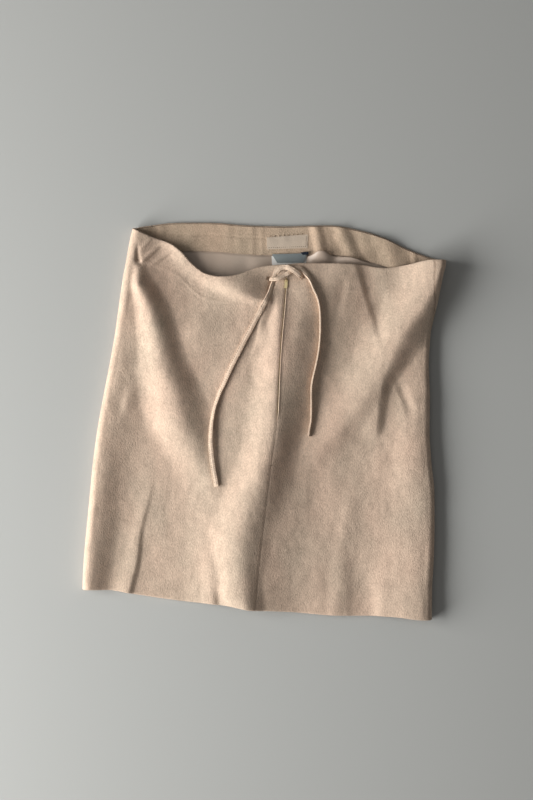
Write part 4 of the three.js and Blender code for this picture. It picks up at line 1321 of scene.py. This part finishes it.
@dataclass
class Tie(Piecework):
    """The tie's two strands of folded, stitched suede."""

    fronts: Fronts
    sewing: Sewing
    thread: Thread = Thread(2.5, 1.6, 0.26)
    thread_sink: float = 0.25
    samples: int = 300
    between: int = 24
    clearance: float = 0.15
    section_points: int = 28
    squareness: float = 0.55
    # The groove beside each edge: its place as a share of half the width, its depth and its width, and
    # the share of half the thickness above which it is cut
    groove: tuple[float, float, float, float] = (0.62, 0.42, 0.42, 0.4)
    # Rings of rays that find where a strand rests, each a share of its half width and a count
    rays: tuple = ((0.0, 1), (0.4, 8), (0.75, 12))
    easing: tuple[int, float] = (6, 0.05)
    # The samples of a strand that are outside the skirt, and are sewn
    sewn: tuple[int, int] = (76, -3)

    def floor(self) -> BVHTree:
        """Joins the fronts' surfaces, to lay the strands on.

        Returns:
            The surfaces' tree.
        """
        points, quads = [], []
        for sheet in self.fronts.sheets.values():
            quads.extend((sheet.quads + len(points)).tolist())
            points.extend(sheet.points.tolist())
        return BVHTree.FromPolygons(points, quads)

    def rest_height(self, tree: BVHTree, x: float, y: float, ball: float) -> float:
        """The height at which a ball's middle rests on the fronts.

        Args:
            tree: the fronts' surfaces.
            x: the ball's place across.
            y: its place along.
            ball: its radius.

        Returns:
            The height, far below 0 where nothing is under the ball.
        """
        best = -1e9
        for share, count in self.rays:
            for i in range(count):
                angle = 2 * math.pi * i / count
                origin = Vector((x + share * ball * math.cos(angle), y + share * ball * math.sin(angle), 90))
                hit = tree.ray_cast(origin, Vector((0, 0, -1)))[0]
                if hit is not None:
                    best = max(best, hit.z + ball * math.sqrt(1 - share * share))
        return best

    def section(self) -> Array:
        """The strap's section: two folded edges with a groove beside each.

        Returns:
            Its points, across and up.
        """
        outline = []
        half, thick = TIE_WIDTH / 2, TIE_THICKNESS / 2
        place, deep, wide, above = self.groove
        for k in range(self.section_points):
            a = 2 * math.pi * k / self.section_points
            across, up = (size * math.copysign(abs(way) ** self.squareness, way)
                          for size, way in ((half, math.cos(a)), (thick, math.sin(a))))
            cut = deep * math.exp(-((abs(across) - half * place) / wide) ** 2)
            outline.append((across, up - math.copysign(cut, up) if abs(up) > above * thick else up))
        return np.array(outline)

    def route(self, table: Table) -> Array:
        """A smooth curve through a strand's route.

        Args:
            table: the route.

        Returns:
            Even samples of its plan, its height over rest and its turn.
        """
        rows = np.array(table.rows, float)
        ctrl = np.vstack([2 * rows[0] - rows[1], rows, 2 * rows[-1] - rows[-2]])
        t = np.linspace(0, 1, self.between, endpoint=False)[:, None]
        fine = []
        for k in range(1, len(ctrl) - 2):
            p0, p1, p2, p3 = ctrl[k - 1:k + 3]
            fine.append(0.5 * (2 * p1 + (p2 - p0) * t + (2 * p0 - 5 * p1 + 4 * p2 - p3) * t ** 2
                               + (3 * p1 - p0 - 3 * p2 + p3) * t ** 3))
        line = np.vstack(fine + [rows[-1:]])
        run = run_along(line[:, :3])
        at = np.linspace(0, run[-1], self.samples)
        return np.stack([np.interp(at, run, line[:, k]) for k in range(4)], -1)

    def resting_line(self, spots: Array, turn: Array, tree: BVHTree) -> Array:
        """Lays a strand's middle line over the fronts.

        Args:
            spots: the samples of its route.
            turn: its turn at each.
            tree: the fronts' surfaces.

        Returns:
            The line's points.
        """
        ball = np.hypot(TIE_THICKNESS / 2 * np.cos(turn), TIE_WIDTH / 2 * np.sin(turn)) + self.clearance
        rest = np.array([self.rest_height(tree, s[0], s[1], r) for s, r in zip(spots, ball)])
        held = rest > 0
        order = np.arange(len(rest))
        rest = np.interp(order, order[held], rest[held])
        rounds, drop = self.easing
        for _ in range(rounds):
            padded = np.pad(rest, 1, mode="edge")
            rest = np.maximum(rest - drop, (padded[:-2] + 2 * rest + padded[2:]) / 4)
        return np.stack([spots[:, 0], spots[:, 1], rest + spots[:, 2]], -1)

    def strand(self, name: str, table: Table, tree: BVHTree) -> None:
        """Builds one strand with its stitches.

        Args:
            name: the solid that it replaces.
            table: its route.
            tree: the fronts' surfaces.
        """
        spots = self.route(table)
        turn = np.radians(spots[:, 3])
        line = self.resting_line(spots, turn, tree)
        tangent = unit(np.gradient(line, axis=0))
        side = np.cross(tangent, np.array([0.0, 0.0, 1.0]))
        # A strand that comes up steeply from its hole has no side of its own, and takes the next one
        first = int(np.argmax(np.linalg.norm(side, axis=1) > 0.5))
        side[:first] = side[first]
        side = unit(side)
        up = np.cross(side, tangent)
        cos, sin = np.cos(turn)[:, None], np.sin(turn)[:, None]
        across, over = side * cos + up * sin, up * cos - side * sin
        outline = self.section()
        rings = line[:, None] + across[:, None] * outline[None, :, :1] + over[:, None] * outline[None, :, 1:]
        count, last = len(outline), (len(line) - 1) * len(outline)
        faces = [[i + k, i + (k + 1) % count, i + count + (k + 1) % count, i + count + k]
                 for i in range(0, last, count) for k in range(count)]
        faces += [list(range(count))[::-1], list(range(last, last + count))]
        # The strap takes the copy of the suede painted lighter, for the light on the raised strands
        piece = self.add(name + "_strap", rings.reshape(-1, 3), faces, "suede_painted_lighter_for_tie", name, slot="suede",
                         sharp=60.0, turn_out=True)
        aside, lift = TIE_WIDTH / 2 * self.groove[0], TIE_THICKNESS / 2 - self.thread_sink
        sewn = slice(*self.sewn)
        rows = [((line + across * aside * s + over * lift)[sewn], over[sewn]) for s in (-1, 1)]
        stitches = self.sewing.row(name + "_stitches", rows, self.thread)

    def build(self) -> None:
        """Builds both strands."""
        tree = self.floor()
        self.strand("tie_left", LEFT_TAIL, tree)
        self.strand("tie_right", RIGHT_TAIL, tree)


@dataclass(frozen=True)
class Lamp:
    """A broad soft light: its name, place in metres, width and height, power in watts and colour."""

    name: str
    place: tuple[float, float, float]
    size: tuple[float, float]
    power: float
    colour: Colour

    def build(self) -> None:
        """Adds the light, aimed at the skirt's middle."""
        data = bpy.data.lights.new(self.name, "AREA")
        data.shape = "RECTANGLE"
        data.size, data.size_y = self.size
        data.energy = self.power
        data.color = self.colour
        lamp = linked(self.name, data)
        lamp.location = self.place
        lamp.rotation_euler = (-Vector(self.place)).to_track_quat("-Z", "Y").to_euler()


@dataclass
class Studio:
    """The floor, lights and camera."""

    pixel: float = 1.15
    image: tuple[int, int] = (533, 800)
    centre_pixel: tuple[float, float] = (264.0, 421.0)
    distance: float = 2.4
    sensor: float = 36.0
    floor_half: float = 9000.0
    floor_drop: float = 0.3
    lamps: tuple[Lamp, ...] = (
        Lamp("window", (-1.88, -0.46, 0.82), (2.2, 1.45), 109.0, (1.0, 0.985, 0.955)),
        Lamp("ceiling", (-0.5, 0.2, 2.7), (2.0, 2.0), 3.0, (1.0, 0.98, 0.95)),
    )
    sky: tuple = ((1.0, 0.975, 0.94, 1), 0.2)
    gamma: float = 0.88

    def floor(self) -> None:
        """A plain pale floor, just under the skirt."""
        material, _, _ = principled("floor", {
            "Base Color": (0.44, 0.45, 0.446, 1), "Roughness": 0.8, "Specular IOR Level": 0.2})
        corners = ((-1, -1), (1, -1), (1, 1), (-1, 1))
        points = [(x * self.floor_half, y * self.floor_half, -self.floor_drop) for x, y in corners]
        mesh_object("floor", np.array(points), [(0, 1, 2, 3)], Vector(), material)

    def camera(self) -> None:
        """A camera straight above, framed as the photograph."""
        data = bpy.data.cameras.new("camera")
        data.sensor_width = self.sensor
        data.sensor_fit = "VERTICAL"
        data.sensor_height = self.sensor
        data.lens = self.sensor * self.distance / (self.image[1] * self.pixel * MM)
        camera = linked("camera", data)
        x = (self.image[0] / 2 - self.centre_pixel[0]) * self.pixel * MM
        y = (self.centre_pixel[1] - self.image[1] / 2) * self.pixel * MM
        camera.location = (x, y, self.distance)
        bpy.context.scene.camera = camera

    def build(self) -> None:
        """Sets up the stage."""
        self.camera()
        self.floor()
        for lamp in self.lamps:
            lamp.build()
        scene = bpy.context.scene
        scene.world = bpy.data.worlds.new("studio")
        scene.world.use_nodes = True
        background = scene.world.node_tree.nodes["Background"]
        background.inputs["Color"].default_value, background.inputs["Strength"].default_value = self.sky
        scene.view_settings.view_transform = "Standard"
        scene.view_settings.look = "None"
        scene.view_settings.exposure = 0.0
        scene.view_settings.gamma = self.gamma


def main() -> None:
    """Builds the studio and every piece of the skirt, in order."""
    logging.basicConfig(level=logging.INFO, format="%(message)s")
    Studio().build()
    low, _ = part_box("label")
    shift = Vector((low.x / MM - LABEL_LEFT, low.y / MM - LABEL_LOW, 0.0))
    kit = (Tube(), Wardrobe(), shift)
    fronts, sewing = Fronts(*kit), Sewing(*kit)
    for part in (fronts, Back(*kit), Labels(*kit), Zip(*kit), sewing, Tie(*kit, fronts, sewing)):
        part.build()


if __name__ == "__main__":
    main()
